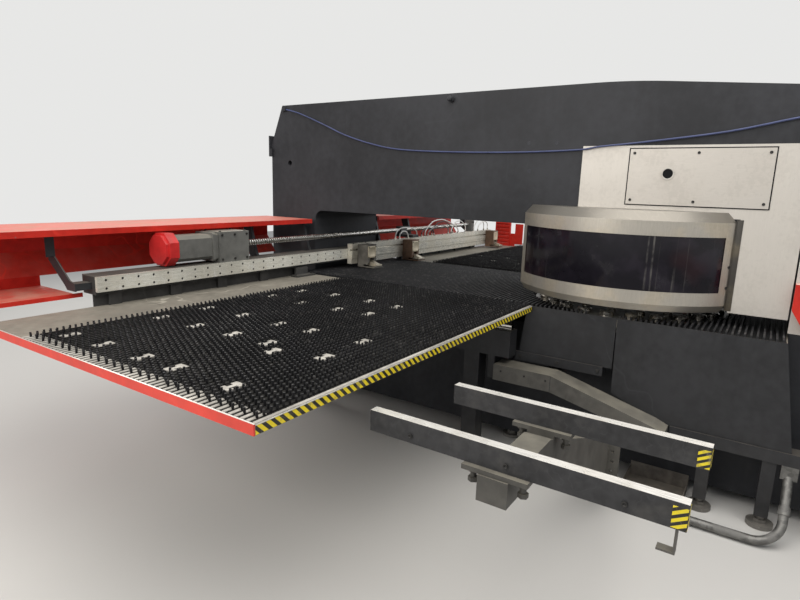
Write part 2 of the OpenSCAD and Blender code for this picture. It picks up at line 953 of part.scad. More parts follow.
module y_drive() {
    x = y_screw_xz[0];
    z = y_screw_xz[1];
    plate_y = y_bearing_y[1] + bearing_l;
    color("#3d3e40") {
        for (y = y_bearing_y)
            difference() {
                box([x - 45, y, rib_z[1]], [x + 45, y + bearing_l, z + 45]);
                y_bar(x, y - 1, y + bearing_l + 1, z, screw_r + run_gap);
            }
        box([x - 60, plate_y + 32, z - 60], [x + 60, plate_y + 252, z + 60]);
        difference() {
            box([x - 70, plate_y, rib_z[1]], [x + 70, plate_y + 32, z + 70]);
            y_bar(x, plate_y - 1, plate_y + 33, z, screw_r + 2);
        }
    }
}

module y_screw() {
    color("#8f8f8d")
    y_bar(y_screw_xz[0], y_bearing_y[0] + 2, y_bearing_y[1] + bearing_l + 20, y_screw_xz[1], screw_r);
}

// Turrets

// Draws its child at each station of a ring.
module stations(count, r) {
    for (i = [0:count - 1])
        rotate([0, 0, 90 + 360 * i / count])
            translate([r, 0, 0])
                children();
}

module turret_disc(z, t) {
    translate([0, turret_y, z])
        difference() {
            cylinder(h = t, r = turret_r, $fn = 128);
            stations(outer_stations, station_r)
                translate([0, 0, -1])
                    cylinder(h = t + 2, r = station_bore + run_gap);
            stations(inner_stations, inner_station_r)
                translate([0, 0, -1])
                    cylinder(h = t + 2, r = inner_bore + run_gap);
            // a blind bore in the rim for the index pin, at each outer station
            stations(outer_stations, turret_r - index_depth)
                x_bar(0, index_depth + 1, 0, t / 2, index_r + 0.3);
        }
}

module upper_turret() {
    color("#7c7d7b")
        turret_disc(upper_disc_z, upper_disc_t);
}

module upper_turret_shaft() {
    low = upper_disc_z + upper_disc_t;
    color("#9b9b98")
    translate([0, turret_y, low]) {
        cylinder(h = 60, r = 240, $fn = 96);
        cylinder(h = throat_top - low - thrust_gap, r = 150, $fn = 96);
        cylinder(h = throat_top - low + shaft_depth - 5, r = shaft_r);
    }
}

// One punch assembly standing from z = 0: the guide in its bore, a shoulder
// that seats on the disc, the stripping spring's canister and the head.
punch_seat = upper_disc_z + upper_disc_t - sheet_z - feed_gap + 0.02;
shoulder_h = 14;
head_h = 14;

module punch(r, height) {
    canister = height - head_h - 12;
    rotate_extrude($fn = 32)
        polygon([
            [0, 0], [r * 0.8, 0], [r, 8], [r, punch_seat], [r + 5, punch_seat],
            [r + 5, punch_seat + shoulder_h], [r * 0.8, punch_seat + shoulder_h], [r * 0.8, canister],
            [r * 0.5, canister + 4], [r * 0.5, height - head_h], [r * 0.9, height - head_h],
            [r * 0.9, height], [0, height],
        ]);
}

module punches() {
    color("#b5b1a6")
    translate([0, turret_y, sheet_z + feed_gap]) {
        stations(outer_stations, station_r)
            punch(station_bore, punch_h);
        stations(inner_stations, inner_station_r)
            punch(inner_bore, punch_h - 20);
    }
}

module lower_turret() {
    color("#6f706e")
        turret_disc(lower_disc_z, lower_disc_t);
}

module lower_turret_shaft() {
    color("#9b9b98")
    translate([0, turret_y, bed_top - shaft_depth + 5]) {
        cylinder(h = lower_disc_z - bed_top + shaft_depth - 5, r = shaft_r);
        translate([0, 0, shaft_depth - 5 + thrust_gap])
            cylinder(h = lower_disc_z - bed_top - thrust_gap, r = 200, $fn = 96);
    }
}

// One die in its holder, with the hole that the slug falls through.
module die(r, depth, height) {
    rotate_extrude($fn = 32)
        polygon([
            [r * 0.4, -depth], [r, -depth], [r, 0], [r + 7, 0],
            [r + 7, height * 0.7], [r + 3, height], [r * 0.4, height],
        ]);
}

module dies() {
    color("#a8a49a")
    translate([0, turret_y, centre_top]) {
        stations(outer_stations, station_r)
            die(station_bore, lower_disc_t, sheet_z - centre_top - 4);
        stations(inner_stations, inner_station_r)
            die(inner_bore, lower_disc_t, sheet_z - centre_top - 4);
    }
}

// Ram

module ram_cylinder() {
    color("#8d8f90")
    translate([0, punch_y, throat_top])
        difference() {
            union() {
                cylinder(h = ram_l - 5, r = ram_r - run_gap);
                translate([0, 0, -ram_flange_t])
                    cylinder(h = ram_flange_t, r = ram_r + 40);
            }
            translate([0, 0, -ram_flange_t - 1])
                cylinder(h = ram_l - 60, r = striker_r + run_gap);
            for (a = [0:60:300])
                rotate([0, 0, a])
                    translate([ram_r + 20, 0, -ram_flange_t - 1])
                        cylinder(h = ram_flange_t + 2, r = 9);
        }
}

module striker() {
    head_z = punch_top + ram_stroke + 5;
    color("#d0d0cc")
    translate([0, punch_y, head_z]) {
        cylinder(h = 40, r = striker_r + 13);
        cylinder(h = throat_top + 300 - head_z, r = striker_r);
    }
}

// Index pins that lock both turrets, in housings on the front leg.
index_r = 16;
index_stroke = 32;
index_clear = 12;
index_depth = index_stroke - index_clear + 3;
index_z = [upper_disc_z + upper_disc_t / 2, lower_disc_z + lower_disc_t / 2];
index_nose = 8;

module index_housings() {
    rear = turret_y - turret_r - 28;
    color("#5f6163")
    for (z = index_z)
        difference() {
            union() {
                box([-30, throat_front_y, z - 28], [30, rear, z + 28]);
                box([-60, throat_front_y, z - 30], [60, throat_front_y + 20, z + 30]);
            }
            y_bar(0, throat_front_y + 40, rear + 1, z, index_r + run_gap);
        }
}

module index_pins() {
    tip = turret_y - turret_r - index_clear;
    color("#c8c8c4")
    for (z = index_z) {
        y_bar(0, throat_front_y + 60, tip - index_nose, z, index_r);
        translate([0, tip - index_nose, z])
            rotate([-90, 0, 0])
                cylinder(h = index_nose, r1 = index_r, r2 = index_r - 4);
    }
}

// Wing tables

wing_plate_seams = [1270, 1958];
wing_rib_x = [930, 1270, 1610, 1958, 2320];

module wing_table(side) {
    outer = wing_out - edge_t;
    plate_low = table_top - plate_t;
    color("#8b877e")
    on_side(side)
        difference() {
            union() {
                box([-outer, wing_front_y, plate_low], [-wing_in, wing_rear_y, table_top]);
                // perimeter frame and the cross ribs under the plate
                for (y = [wing_front_y, 300, 780, 1200, wing_rear_y - 40])
                    box([-outer, y, wing_low], [-wing_in, y + 40, plate_low]);
                box([-outer, wing_front_y, wing_low], [-outer + 40, wing_rear_y, plate_low]);
                box([-wing_in - 40, wing_front_y, wing_low], [-wing_in, wing_rear_y, plate_low]);
                for (x = wing_rib_x)
                    box([-x - 25, wing_front_y, wing_low], [-x + 25, wing_rear_y, plate_low]);
            }
            // seams between the table plates
            for (x = wing_plate_seams)
                box([-x - 1, wing_front_y - 1, table_top - 3], [-x + 1, wing_rear_y + 1, table_top + 1]);
        }
}

module wing_brush(side) {
    width = wing_out - wing_in - edge_t - 2 * brush_margin;
    color("#1b1b1c")
    on_side(side)
        along_y(wing_front_y + brush_margin, brush_rear_y)
            translate([-wing_out + edge_t + brush_margin, table_top])
                bristle_comb(width, 3, bristle_h);
}

// Red strips on the outer edges of the wing tables.
module edge_strips() {
    color("#d8452f")
    both_sides()
        box([-wing_out, wing_front_y, wing_low], [-wing_out + edge_t, wing_rear_y, table_top + 3]);
}

// Saddles that ride on the Y rails, with the bracket of the Y ball nut.
block_y = [1220, 1480];
block_l = 110;
saddle_y = [1190, 1600];
nut_y = [1330, 1440];

module saddle() {
    box([-side_beam_x[0], saddle_y[0], saddle_low], [-side_beam_x[1], saddle_y[1], wing_low]);
    for (y = block_y)
        difference() {
            box([-y_rail_x - 45, y, bed_top + 8], [-y_rail_x + 45, y + block_l, saddle_low]);
            box(
                [-y_rail_x - y_rail_w / 2 - slide_gap, y - 1, bed_top],
                [-y_rail_x + y_rail_w / 2 + slide_gap, y + block_l + 1, bed_top + y_rail_h + slide_gap]
            );
        }
}

module saddles() {
    x = y_screw_xz[0];
    z = y_screw_xz[1];
    color("#47484a") {
        both_sides()
            saddle();
        difference() {
            union() {
                box([x - 40, nut_y[0], z - 40], [x + 40, nut_y[1], saddle_low + 30]);
                box([-side_beam_x[1], nut_y[0], saddle_low], [x - 40, nut_y[1], saddle_low + 30]);
            }
            y_bar(x, nut_y[0] - 1, nut_y[1] + 1, z, screw_r + run_gap);
        }
    }
}

// X axis

beam_feet = [for (inset = [107, 474, 807, 1157, 1527]) beam_half - inset];

// Cable channel on the beam's back, in two lengths between the hood arms.
channel_x = [[beam_half - 27, 1020], [980, 490]];
channel_d = 58;
apron_t = 6;

module x_beam() {
    color("#4d4c49") {
        box([-beam_half, beam_y[0], beam_z[0]], [beam_half, beam_y[1], beam_z[1]]);
        both_sides() {
            for (x = beam_feet)
                box([-x - 35, beam_y[0] + 10, table_top], [-x + 35, wing_rear_y, beam_z[0]]);
            // apron that hangs behind the wing table's rear edge
            box([-beam_half, wing_rear_y, wing_low], [-wing_in, wing_rear_y + apron_t, beam_z[0]]);
            for (run = channel_x)
                box([-run[0], beam_y[1], beam_z[0] + 26], [-run[1], beam_y[1] + channel_d, beam_z[1] - 6]);
        }
    }
}

module x_guide_bar() {
    count = floor((2 * beam_half - 60) / bar_pitch);
    first = -count * bar_pitch / 2;
    color("#cfc9bb")
    difference() {
        box([-beam_half, bar_front, bar_z[0]], [beam_half, beam_y[0], bar_z[1]]);
        for (i = [0:count])
            for (z = [bar_z[0] + 16, bar_z[1] - 19])
                translate([first + i * bar_pitch, bar_front - 1, z])
                    rotate([-90, 0, 0])
                        cylinder(h = 13, r = 7, $fn = 16);
    }
}

// Servo motor of the X axis: finned body with cut corners and a square flange.
module cut_corner_square(half, cut) {
    polygon([
        [-half, -half + cut], [-half + cut, -half], [half - cut, -half], [half, -half + cut],
        [half, half - cut], [half - cut, half], [-half + cut, half], [-half, half - cut],
    ]);
}

x_motor_cap_l = 78;

module x_motor() {
    cap_end = x_motor_x[0] + x_motor_cap_l;
    color("#77797a")
    translate([0, x_screw_yz[0], x_screw_yz[1]]) {
        along_x(cap_end, x_motor_x[1] - 20)
            cut_corner_square(76, 20);
        along_x(x_motor_x[1] - 20, x_motor_x[1])
            cut_corner_square(88, 10);
        // coupling housing up to the gearbox
        along_x(x_motor_x[1], x_gear_x[0])
            cut_corner_square(80, 8);
    }
}

module x_motor_cap() {
    color("#c03a36")
    translate([0, x_screw_yz[0], x_screw_yz[1]]) {
        along_x(x_motor_x[0] + 18, x_motor_x[0] + x_motor_cap_l)
            cut_corner_square(95, 52);
        along_x(x_motor_x[0], x_motor_x[0] + 18)
            cut_corner_square(82, 46);
    }
}

module x_gearbox() {
    y = x_screw_yz[0];
    z = x_screw_yz[1];
    color("#6c6d6e")
    difference() {
        union() {
            box([x_gear_x[0], beam_y[0] + 2, beam_z[1]], [x_gear_x[1], y + 86, z + 90]);
            // far bearing of the ball screw
            box([x_screw_end - 70, beam_y[0] + 40, beam_z[1]], [x_screw_end - 10, beam_y[1], z + 50]);
        }
        x_bar(x_gear_x[1] - 70, x_gear_x[1] + 1, y, z, screw_r + run_gap);
        x_bar(x_screw_end - 71, x_screw_end - 9, y, z, screw_r + run_gap);
    }
}

module x_screw() {
    y = x_screw_yz[0];
    z = x_screw_yz[1];
    color("#8f8f8d") {
        x_bar(x_gear_x[1] - 65, x_screw_end, y, z, screw_r);
        x_bar(x_gear_x[1] + 0.5, x_gear_x[1] + 34, y, z, 32);
    }
}

// Hoods

hood_t = sheet_t + 1;

module hood_section() {
    t = hood_t;
    polygon([
        [hood_y0, hood_top - hood_lip], [hood_y0, hood_top], [hood_y1, hood_top], [hood_y1, hood_low + 190],
        [hood_y1 - 90, hood_low + 60], [hood_y1 - 90 - t, hood_low + 60], [hood_y1 - t, hood_low + 191],
        [hood_y1 - t, hood_top - t], [hood_y0 + t, hood_top - t], [hood_y0 + t, hood_top - hood_lip],
    ]);
}

// Floor and front lip at the hood's outer end, beyond the X beam.
module hood_floor_section() {
    t = hood_t;
    front = hood_y0 - 50;
    polygon([
        [front, hood_low], [hood_y1 - 90, hood_low], [hood_y1 - 90, hood_low + 60],
        [hood_y1 - 90 - t, hood_low + 60], [hood_y1 - 90 - t, hood_low + t], [front + t, hood_low + t],
        [front + t, hood_low + 22], [front, hood_low + 22],
    ]);
}

module hoods() {
    color("#b5241c")
    both_sides() {
        along_x(-hood_out, -hood_in)
            hood_section();
        along_x(-hood_out, -beam_half - 26)
            hood_floor_section();
    }
}

// Bent arms that carry the hoods.
hood_arm_x = [1000, 470];
outer_arm_x = beam_half + 83;
outer_arm_z = beam_z[0] + 26;

module hood_arm_section() {
    rear = beam_y[1];
    top = hood_top - hood_t;
    polygon([
        [rear, beam_z[0] + 10], [rear + 45, beam_z[0] + 10], [rear + 130, top - 56], [rear + 130, top],
        [rear + 60, top], [rear + 60, top - 46], [rear + 18, beam_z[1] + 30], [rear, beam_z[1] - 5],
    ]);
}

module outer_arm_section() {
    front = beam_y[0] + 30;
    rear = beam_y[1];
    low = outer_arm_z;
    top = hood_top - hood_t;
    polygon([
        [front, low], [rear - 10, low], [rear + 10, low + 22], [rear + 160, low + 140], [rear + 160, top],
        [rear + 100, top], [rear + 100, low + 164], [rear - 40, low + 50], [front, low + 40],
    ]);
}

module hood_arms() {
    flap_y = beam_y[1] + 100;
    color("#202124")
    both_sides() {
        for (x = hood_arm_x)
            along_x(-x - 12, -x + 12)
                hood_arm_section();
        along_x(-outer_arm_x - 4, -outer_arm_x + 4)
            outer_arm_section();
        along_x(-outer_arm_x - 40, -outer_arm_x - 4)
            polygon([
                [flap_y, outer_arm_z + 164], [flap_y + 6, outer_arm_z + 160],
                [flap_y + 6, hood_top - hood_t], [flap_y, hood_top - hood_t],
            ]);
        box(
            [-outer_arm_x + 4, beam_y[0] + 34, outer_arm_z + 2],
            [-beam_half, beam_y[1] - 14, outer_arm_z + 38]
        );
    }
}

// Red louvred guard at the right wing table's outer end.
module end_guard() {
    color("#c43a2a")
    mirror([1, 0, 0]) {
        difference() {
            box([-wing_out + 8, 1368, table_top], [-wing_out + 40, 1559, 1233]);
            for (i = [0:5])
                box([-wing_out + 26, 1380, 985 + i * 42], [-wing_out + 41, 1547, 1003 + i * 42]);
        }
        box([-wing_out + 8, 1215, table_top + bristle_h + 3], [-wing_out + 20, 1311, 1216]);
        box([-wing_out + 8, 1311, table_top], [-wing_out + 20, 1368, 1100]);
    }
}

// Gauge block on the left wing table, low enough for the carriage to pass.
gauge_x = [-806, -616];

module gauge_block() {
    mid = (gauge_x[0] + gauge_x[1]) / 2;
    rear = beam_y[0] - 1;
    color("#c9c5b8") {
        box([gauge_x[0], carriage_y + 2, table_top], [gauge_x[1], rear, table_top + 12]);
        box([mid - 60, bar_front + 1, table_top + 12], [mid + 60, rear, beam_z[0] - 2]);
    }
}

// X carriage

slide_gap = 0.1;
tongue_d = 22;
tongue_z = [carriage_z[0] + 104, carriage_z[1] - 42];

module carriage_section() {
    low = carriage_z[0];
    top = carriage_z[1];
    back = bar_front - 2;
    front = carriage_y;
    polygon([
        [back, low], [front + 6, low], [front + 6, low + 40], [front, low + 46], [front, low + 60],
        [front + 8, low + 60], [front + 8, low + 66], [front, low + 66], [front, tongue_z[0]],
        [front + tongue_d, tongue_z[0]], [front + tongue_d, tongue_z[1]], [front, tongue_z[1]],
        [front, top], [back, top],
    ]);
}

// Bearing pads that grip the guide bar's edges.
pad_x = [-130, 520, 1180, 1900];
pad_l = 110;

module carriage_beam() {
    back = bar_front - 2;
    color("#b8b2a5") {
        along_x(carriage_x[0], carriage_x[1])
            carriage_section();
        for (x = pad_x) {
            box([x, back, bar_z[1] + slide_gap], [x + pad_l, bar_front + 14, bar_z[1] + 14]);
            box([x, back, bar_z[0] - 12], [x + pad_l, bar_front + 14, bar_z[0] - slide_gap]);
        }
    }
}

module carriage_nut() {
    y = x_screw_yz[0];
    z = x_screw_yz[1];
    color("#5b5c5d")
    difference() {
        union() {
            box([nut_x - 50, carriage_y + 4, carriage_z[1]], [nut_x + 50, y + 30, carriage_z[1] + 24]);
            box([nut_x - 50, y - 34, carriage_z[1] + 24], [nut_x + 50, y + 30, z + 34]);
        }
        x_bar(nut_x - 51, nut_x + 51, y, z, screw_r + run_gap);
    }
}

// Work clamps

lower_jaw_t = 7;
jaw_slot = 27;
pivot_back = 28;
pivot_r = 8;
pivot_up = 36;

clamp_back = carriage_y - slide_gap;

// Clamp body with its lower jaw, the pin of the upper jaw and the tongue
// that holds it in the carriage's slot.
module clamp_body(x) {
    front = clamp_back - clamp_d;
    tip = front - jaw_reach;
    half = clamp_w / 2;
    low_top = sheet_z - 0.5;
    pivot_y = clamp_back - pivot_back;
    pivot_z = sheet_z + jaw_gap + pivot_up;
    difference() {
        union() {
            box([x - half, front, carriage_z[0] - 2], [x + half, clamp_back, carriage_z[1] - 4]);
            box([x - half, tip, low_top - lower_jaw_t], [x + half, clamp_back, low_top]);
            for (side = [-1, 1])
                translate([x + side * (jaw_slot + half) / 2, 0, 0])
                    box(
                        [-(half - jaw_slot) / 2, clamp_back - 60, low_top],
                        [(half - jaw_slot) / 2, clamp_back, carriage_z[0] - 2]
                    );
            box(
                [x - half, clamp_back, tongue_z[0] + slide_gap],
                [x + half, carriage_y + tongue_d - slide_gap, tongue_z[1] - slide_gap]
            );
        }
        // slot for the upper jaw
        box([x - jaw_slot, front - 1, low_top], [x + jaw_slot, clamp_back - 8, carriage_z[0] + 76]);
    }
    x_bar(x - jaw_slot, x + jaw_slot, pivot_y, pivot_z, pivot_r);
}

module clamp_body_1() {
    color("#54443b")
        clamp_body(clamp_x[0]);
}

module clamp_body_2() {
    color("#54443b")
        clamp_body(clamp_x[1]);
}

module clamp_body_3() {
    color("#54443b")
        clamp_body(clamp_x[2]);
}

// Upper jaw: a lever on the clamp's pin with a broad tip over the sheet.
module clamp_jaw(index) {
    x = clamp_x[index];
    front = clamp_back - clamp_d;
    tip = front - jaw_reach;
    low = sheet_z + jaw_gap;
    pivot_y = clamp_back - pivot_back;
    pivot_z = low + pivot_up;
    color("#c9c6bd")
    difference() {
        union() {
            along_x(x - jaw_slot + 1, x + jaw_slot - 1)
                polygon([
                    [tip, low], [front + 4, low], [pivot_y - 8, low + 8], [pivot_y + 14, low + 20],
                    [pivot_y + 14, pivot_z + 14], [pivot_y - 16, pivot_z + 16], [front - 6, low + 34],
                    [tip, low + 12],
                ]);
            box([x - 46, tip, low], [x + 46, tip + 34, low + 11]);
        }
        x_bar(x - jaw_slot, x + jaw_slot, pivot_y, pivot_z, pivot_r + run_gap);
    }
}

module clamp_jaw_1() {
    clamp_jaw(0);
}

module clamp_jaw_2() {
    clamp_jaw(1);
}

module clamp_jaw_3() {
    clamp_jaw(2);
}

bridge_frame();
rear_column();
side_frame(-1);  // side_frame_left
side_frame(1);  // side_frame_right
levelling_feet();
head_panels();
access_plates();
cover_screws();
turret_cover(-1);  // turret_cover_left
turret_cover(1);  // turret_cover_right
cover_windows();
centre_table();
centre_brush();
side_panels();
outriggers();
support_arms();
cross_beams();
arm_seats();
louvre_guards();
chip_trays();
supply_conduit();
frame_fittings();
signal_cable();
y_rails();
y_drive();
y_screw();
upper_turret();
upper_turret_shaft();
punches();
lower_turret();
lower_turret_shaft();
dies();
ram_cylinder();
striker();
index_housings();
index_pins();
wing_table(-1);  // wing_table_left
wing_table(1);  // wing_table_right
wing_brush(-1);  // wing_brush_left
wing_brush(1);  // wing_brush_right
edge_strips();
saddles();
x_beam();
x_guide_bar();
x_motor();
x_motor_cap();
x_gearbox();
x_screw();
hoods();
hood_arms();
end_guard();
gauge_block();
carriage_beam();
carriage_nut();
clamp_body_1();
clamp_body_2();
clamp_body_3();
clamp_jaw_1();
clamp_jaw_2();
clamp_jaw_3();
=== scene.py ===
"""Dresses the turret punch press: finishes for its solids, and the pieces that are finer than they are.

Everything is in metres in the shared frame: X along the sheet carriage, Y from the front leg to the
rear leg, Z up, with the floor at zero.
"""

from __future__ import annotations

import logging
import math
import random
from contextlib import contextmanager
from dataclasses import dataclass, replace
from enum import Enum
from functools import cached_property
from typing import Callable, Dict, Iterator, List, Optional, Sequence, Tuple, Union

import bpy
from mathutils import Matrix, Vector

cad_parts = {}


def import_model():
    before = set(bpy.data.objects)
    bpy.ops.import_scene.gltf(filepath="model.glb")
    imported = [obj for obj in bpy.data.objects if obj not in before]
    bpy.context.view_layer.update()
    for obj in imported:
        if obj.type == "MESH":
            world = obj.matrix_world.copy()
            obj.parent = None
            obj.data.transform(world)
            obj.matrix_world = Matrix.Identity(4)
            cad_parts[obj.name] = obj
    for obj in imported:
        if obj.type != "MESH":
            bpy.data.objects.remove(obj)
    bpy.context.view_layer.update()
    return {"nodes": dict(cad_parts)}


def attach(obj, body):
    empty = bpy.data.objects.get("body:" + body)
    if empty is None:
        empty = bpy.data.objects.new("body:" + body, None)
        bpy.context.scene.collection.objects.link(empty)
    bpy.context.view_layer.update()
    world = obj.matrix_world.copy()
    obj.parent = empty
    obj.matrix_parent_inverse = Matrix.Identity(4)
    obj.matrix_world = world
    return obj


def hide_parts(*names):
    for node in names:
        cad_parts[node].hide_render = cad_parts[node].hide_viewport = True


LOG = logging.getLogger("press")
Colour = Tuple[float, float, float]
Point = Tuple[float, float, float]
Flat = Tuple[float, float]
Spot = Tuple[Point, Point]
Solids = Sequence[Tuple[str, ...]]
UP: Point = (0.0, 0.0, 1.0)
FORWARD: Point = (0.0, -1.0, 0.0)
SIXTH_TURN = 1.05


class Along(Enum):
    """The axis that a grain, a row or a bar follows."""

    X = 0
    Y = 1
    Z = 2


class Side(Enum):
    """The machine's two sides, as the sign of X."""

    LEFT = -1
    RIGHT = 1

    @property
    def ending(self) -> str:
        """What the names of its pieces end in."""
        return f"_{self.name.lower()}"

    @property
    def out(self) -> Point:
        """The direction away from the machine's middle."""
        return (float(self.value), 0.0, 0.0)


class Pick(Enum):
    """What edit mode selects, and the mesh's list of it."""

    FACE = "polygons"
    VERT = "vertices"


# Shader maths


def operator(kind: str, turned: bool = False) -> Callable[..., "Sock"]:
    """The method of a socket that adds one Math node.

    Args:
        kind: The Math node's operation.
        turned: Whether the socket comes after the other value.

    Returns:
        The method.
    """

    def build(self: "Sock", *others: "Value") -> "Sock":
        """Adds the node on the socket and the other value."""
        values = (*others, self) if turned else (self, *others)
        return self.shade.node("ShaderNodeMath", {"operation": kind}, values)

    return build


class Sock:
    """A socket of a material, with the operators that build its Math nodes."""

    __add__, __radd__ = operator("ADD"), operator("ADD", turned=True)
    __sub__, __rsub__ = operator("SUBTRACT"), operator("SUBTRACT", turned=True)
    __mul__, __truediv__ = operator("MULTIPLY"), operator("DIVIDE")
    __mod__, __abs__ = operator("FLOORED_MODULO"), operator("ABSOLUTE")
    least, most = operator("MINIMUM"), operator("MAXIMUM")
    angle = operator("ARCTAN2")

    def __init__(self, shade: "Shade", socket: bpy.types.NodeSocket) -> None:
        """Wraps one output socket of a shade."""
        self.shade = shade
        self.socket = socket

    def ease(self, low: float, high: float) -> "Sock":
        """A smooth step from 0 at low to 1 at high, or falling where low is the greater.

        Args:
            low: The value where the step is 0.
            high: The value where the step is 1.

        Returns:
            The stepped value.
        """
        ends = {"Value": self, "From Min": min(low, high), "From Max": max(low, high)}
        step = self.shade.node("ShaderNodeMapRange", {"interpolation_type": "SMOOTHSTEP"}, ends)
        return step if low <= high else 1.0 - step


Value = Union[Sock, float]
Tint = Union[Sock, Colour]


class Shade:
    """One material in the making: its nodes, and the surface that they end in."""

    def __init__(self, name: str) -> None:
        """Starts an empty material.

        Args:
            name: Its name.
        """
        self.material = bpy.data.materials.new(name)
        self.material.use_nodes = True
        self.tree = self.material.node_tree
        self.tree.nodes.clear()
        self.place = self.node("ShaderNodeTexCoord", {}, (), "Object")
        self.x, self.y, self.z = self.parts(self.place)

    @cached_property
    def up(self) -> Sock:
        """How far the face looks up: 1 on a floor, 0 on a wall."""
        return self.parts(self.node("ShaderNodeNewGeometry", {}, (), "Normal"))[2]

    def parts(self, vector: Sock) -> List[Sock]:
        """A vector's X, Y and Z."""
        outputs = self.node("ShaderNodeSeparateXYZ", {}, [vector]).socket.node.outputs
        return [Sock(self, outputs[axis]) for axis in "XYZ"]

    def node(
        self,
        kind: str,
        settings: Dict[str, object],
        values: Union[Sequence[object], Dict[object, object]],
        out: Union[int, str] = 0,
    ) -> Sock:
        """Adds any node.

        Args:
            kind: The node's type.
            settings: Its settings, which are set first.
            values: The values or links of its sockets, in order or by name.
            out: The output that is wanted.

        Returns:
            That output.
        """
        made = self.tree.nodes.new(kind)
        for key, value in settings.items():
            setattr(made, key, value)
        for key, value in values.items() if isinstance(values, dict) else enumerate(values):
            socket = made.inputs[key]
            if isinstance(value, Sock):
                self.tree.links.new(value.socket, socket)
            elif isinstance(value, tuple) and socket.type == "RGBA":
                socket.default_value = (*value, 1.0)
            else:
                socket.default_value = value
        return Sock(self, made.outputs[out])

    def stretched(self, *scale: float) -> Sock:
        """The place with each axis multiplied, for a grain that runs one way."""
        return self.node("ShaderNodeMapping", {}, {"Vector": self.place, "Scale": scale})

    def noise(
        self, size: float, detail: float = 3.0, place: Optional[Sock] = None, rough: float = 0.55
    ) -> Sock:
        """Soft noise.

        Args:
            size: The size of its largest patches, in metres.
            detail: How many finer layers lie on them.
            place: The coordinates, or the object's own.
            rough: How strong the finer layers are.

        Returns:
            A value that is mostly between 0.3 and 0.7.
        """
        inputs = {"Vector": place or self.place, "Scale": 1.0 / size, "Detail": detail, "Roughness": rough}
        return self.node("ShaderNodeTexNoise", {}, inputs, "Fac")

    def cells(self, size: float) -> Sock:
        """The colour of random cells of that size, as one value."""
        cell = self.node("ShaderNodeTexVoronoi", {}, {"Vector": self.place, "Scale": 1.0 / size}, "Color")
        return self.node("ShaderNodeSeparateColor", {}, [cell])

    def scratches(self, size: float) -> Sock:
        """Thin random lines: 1 on a line and 0 off it."""
        return abs(self.noise(size, 2.0) - 0.5).ease(0.012, 0.002)

    def mix(self, share: Value, low: Tint, high: Tint) -> Sock:
        """A colour between two, by a share."""
        return self.node("ShaderNodeMix", {"data_type": "RGBA"}, {0: share, 6: low, 7: high}, 2)

    def bump(self, height: Sock, depth: float, strength: float) -> Sock:
        """A normal from a height in units of depth metres."""
        return self.node("ShaderNodeBump", {}, {"Height": height, "Distance": depth, "Strength": strength})

    def surface(self, **values: object) -> bpy.types.Material:
        """Ends the material in one shader.

        Args:
            values: Its sockets by name, with _ for a space.

        Returns:
            The finished material.
        """
        inputs = {key.replace("_", " "): value for key, value in values.items()}
        shader = self.node("ShaderNodeBsdfPrincipled", {}, inputs)
        out = self.tree.nodes.new("ShaderNodeOutputMaterial")
        self.tree.links.new(shader.socket, out.inputs["Surface"])
        return self.material


# Finishes


def toned(colour: Colour, by: float) -> Colour:
    """The colour, lighter or darker by a factor."""
    return tuple(min(1.0, part * by) for part in colour)


@dataclass(frozen=True)
class Finish:
    """What every finish has: a name, the record's slot, a colour and a roughness."""

    name: str
    slot: str
    colour: Colour
    rough: float

    def tone(self, by: float) -> Colour:
        """The finish's colour, lighter or darker by a factor."""
        return toned(self.colour, by)

    def make(self) -> bpy.types.Material:
        """Builds the material."""
        raise NotImplementedError


@dataclass(frozen=True)
class Paint(Finish):
    """Paint on steel: soft mottling, orange peel, settled dust, grime near the floor, scuffs and chips."""

    dust: float = 0.35
    dust_colour: Colour = (0.30, 0.27, 0.22)
    mottle: float = 0.18
    scuffs: float = 0.25
    chips: float = 0.0
    bare_colour: Colour = (0.20, 0.19, 0.18)
    peel: float = 0.0004
    streaks: float = 0.15
    shine: float = 0.5

    def make(self) -> bpy.types.Material:
        """Builds the paint."""
        s = Shade(self.name)
        broad = s.noise(0.55, 4.0)
        fine = s.noise(0.045, 5.0)
        runs = s.noise(0.09, 3.0, s.stretched(1.0, 1.0, 0.08))
        dark, light = self.tone(1 - self.mottle * 1.6), self.tone(1 + self.mottle * 1.8)
        tone = s.mix((broad * 0.65 + fine * 0.35).ease(0.34, 0.66), dark, light)
        wall = 1.0 - s.up.ease(0.2, 0.7)
        tone = s.mix(runs.ease(0.52, 0.72) * wall * self.streaks, tone, self.tone(1.9))
        lying = s.up.ease(0.35, 0.9) * self.dust * (0.45 + s.noise(0.12, 6.0).ease(0.35, 0.65) * 0.55)
        low = s.z.ease(0.55, 0.0) * broad.ease(0.35, 0.7) * 0.35 * min(1.0, self.dust * 2)
        tone = s.mix(lying.most(low), tone, self.dust_colour)
        lines = s.scratches(0.35) * s.noise(0.4).ease(0.5, 0.62) * self.scuffs
        tone = s.mix(lines, tone, self.tone(2.6))
        bare = s.noise(0.03, 6.0).ease(0.69, 0.72) * s.noise(0.3, 2.0).ease(0.5, 0.6) * self.chips
        tone = s.mix(bare, tone, self.bare_colour)
        gloss = self.rough + (fine - 0.5) * 0.22 + lying * 0.35 + lines * 0.15
        return s.surface(
            Base_Color=tone,
            Roughness=gloss.most(0.12).least(0.95),
            Metallic=bare * 0.8,
            Normal=s.bump(s.noise(0.004, 2.0) - bare * 0.6, self.peel, 0.5),
            Specular_IOR_Level=self.shine,
        )


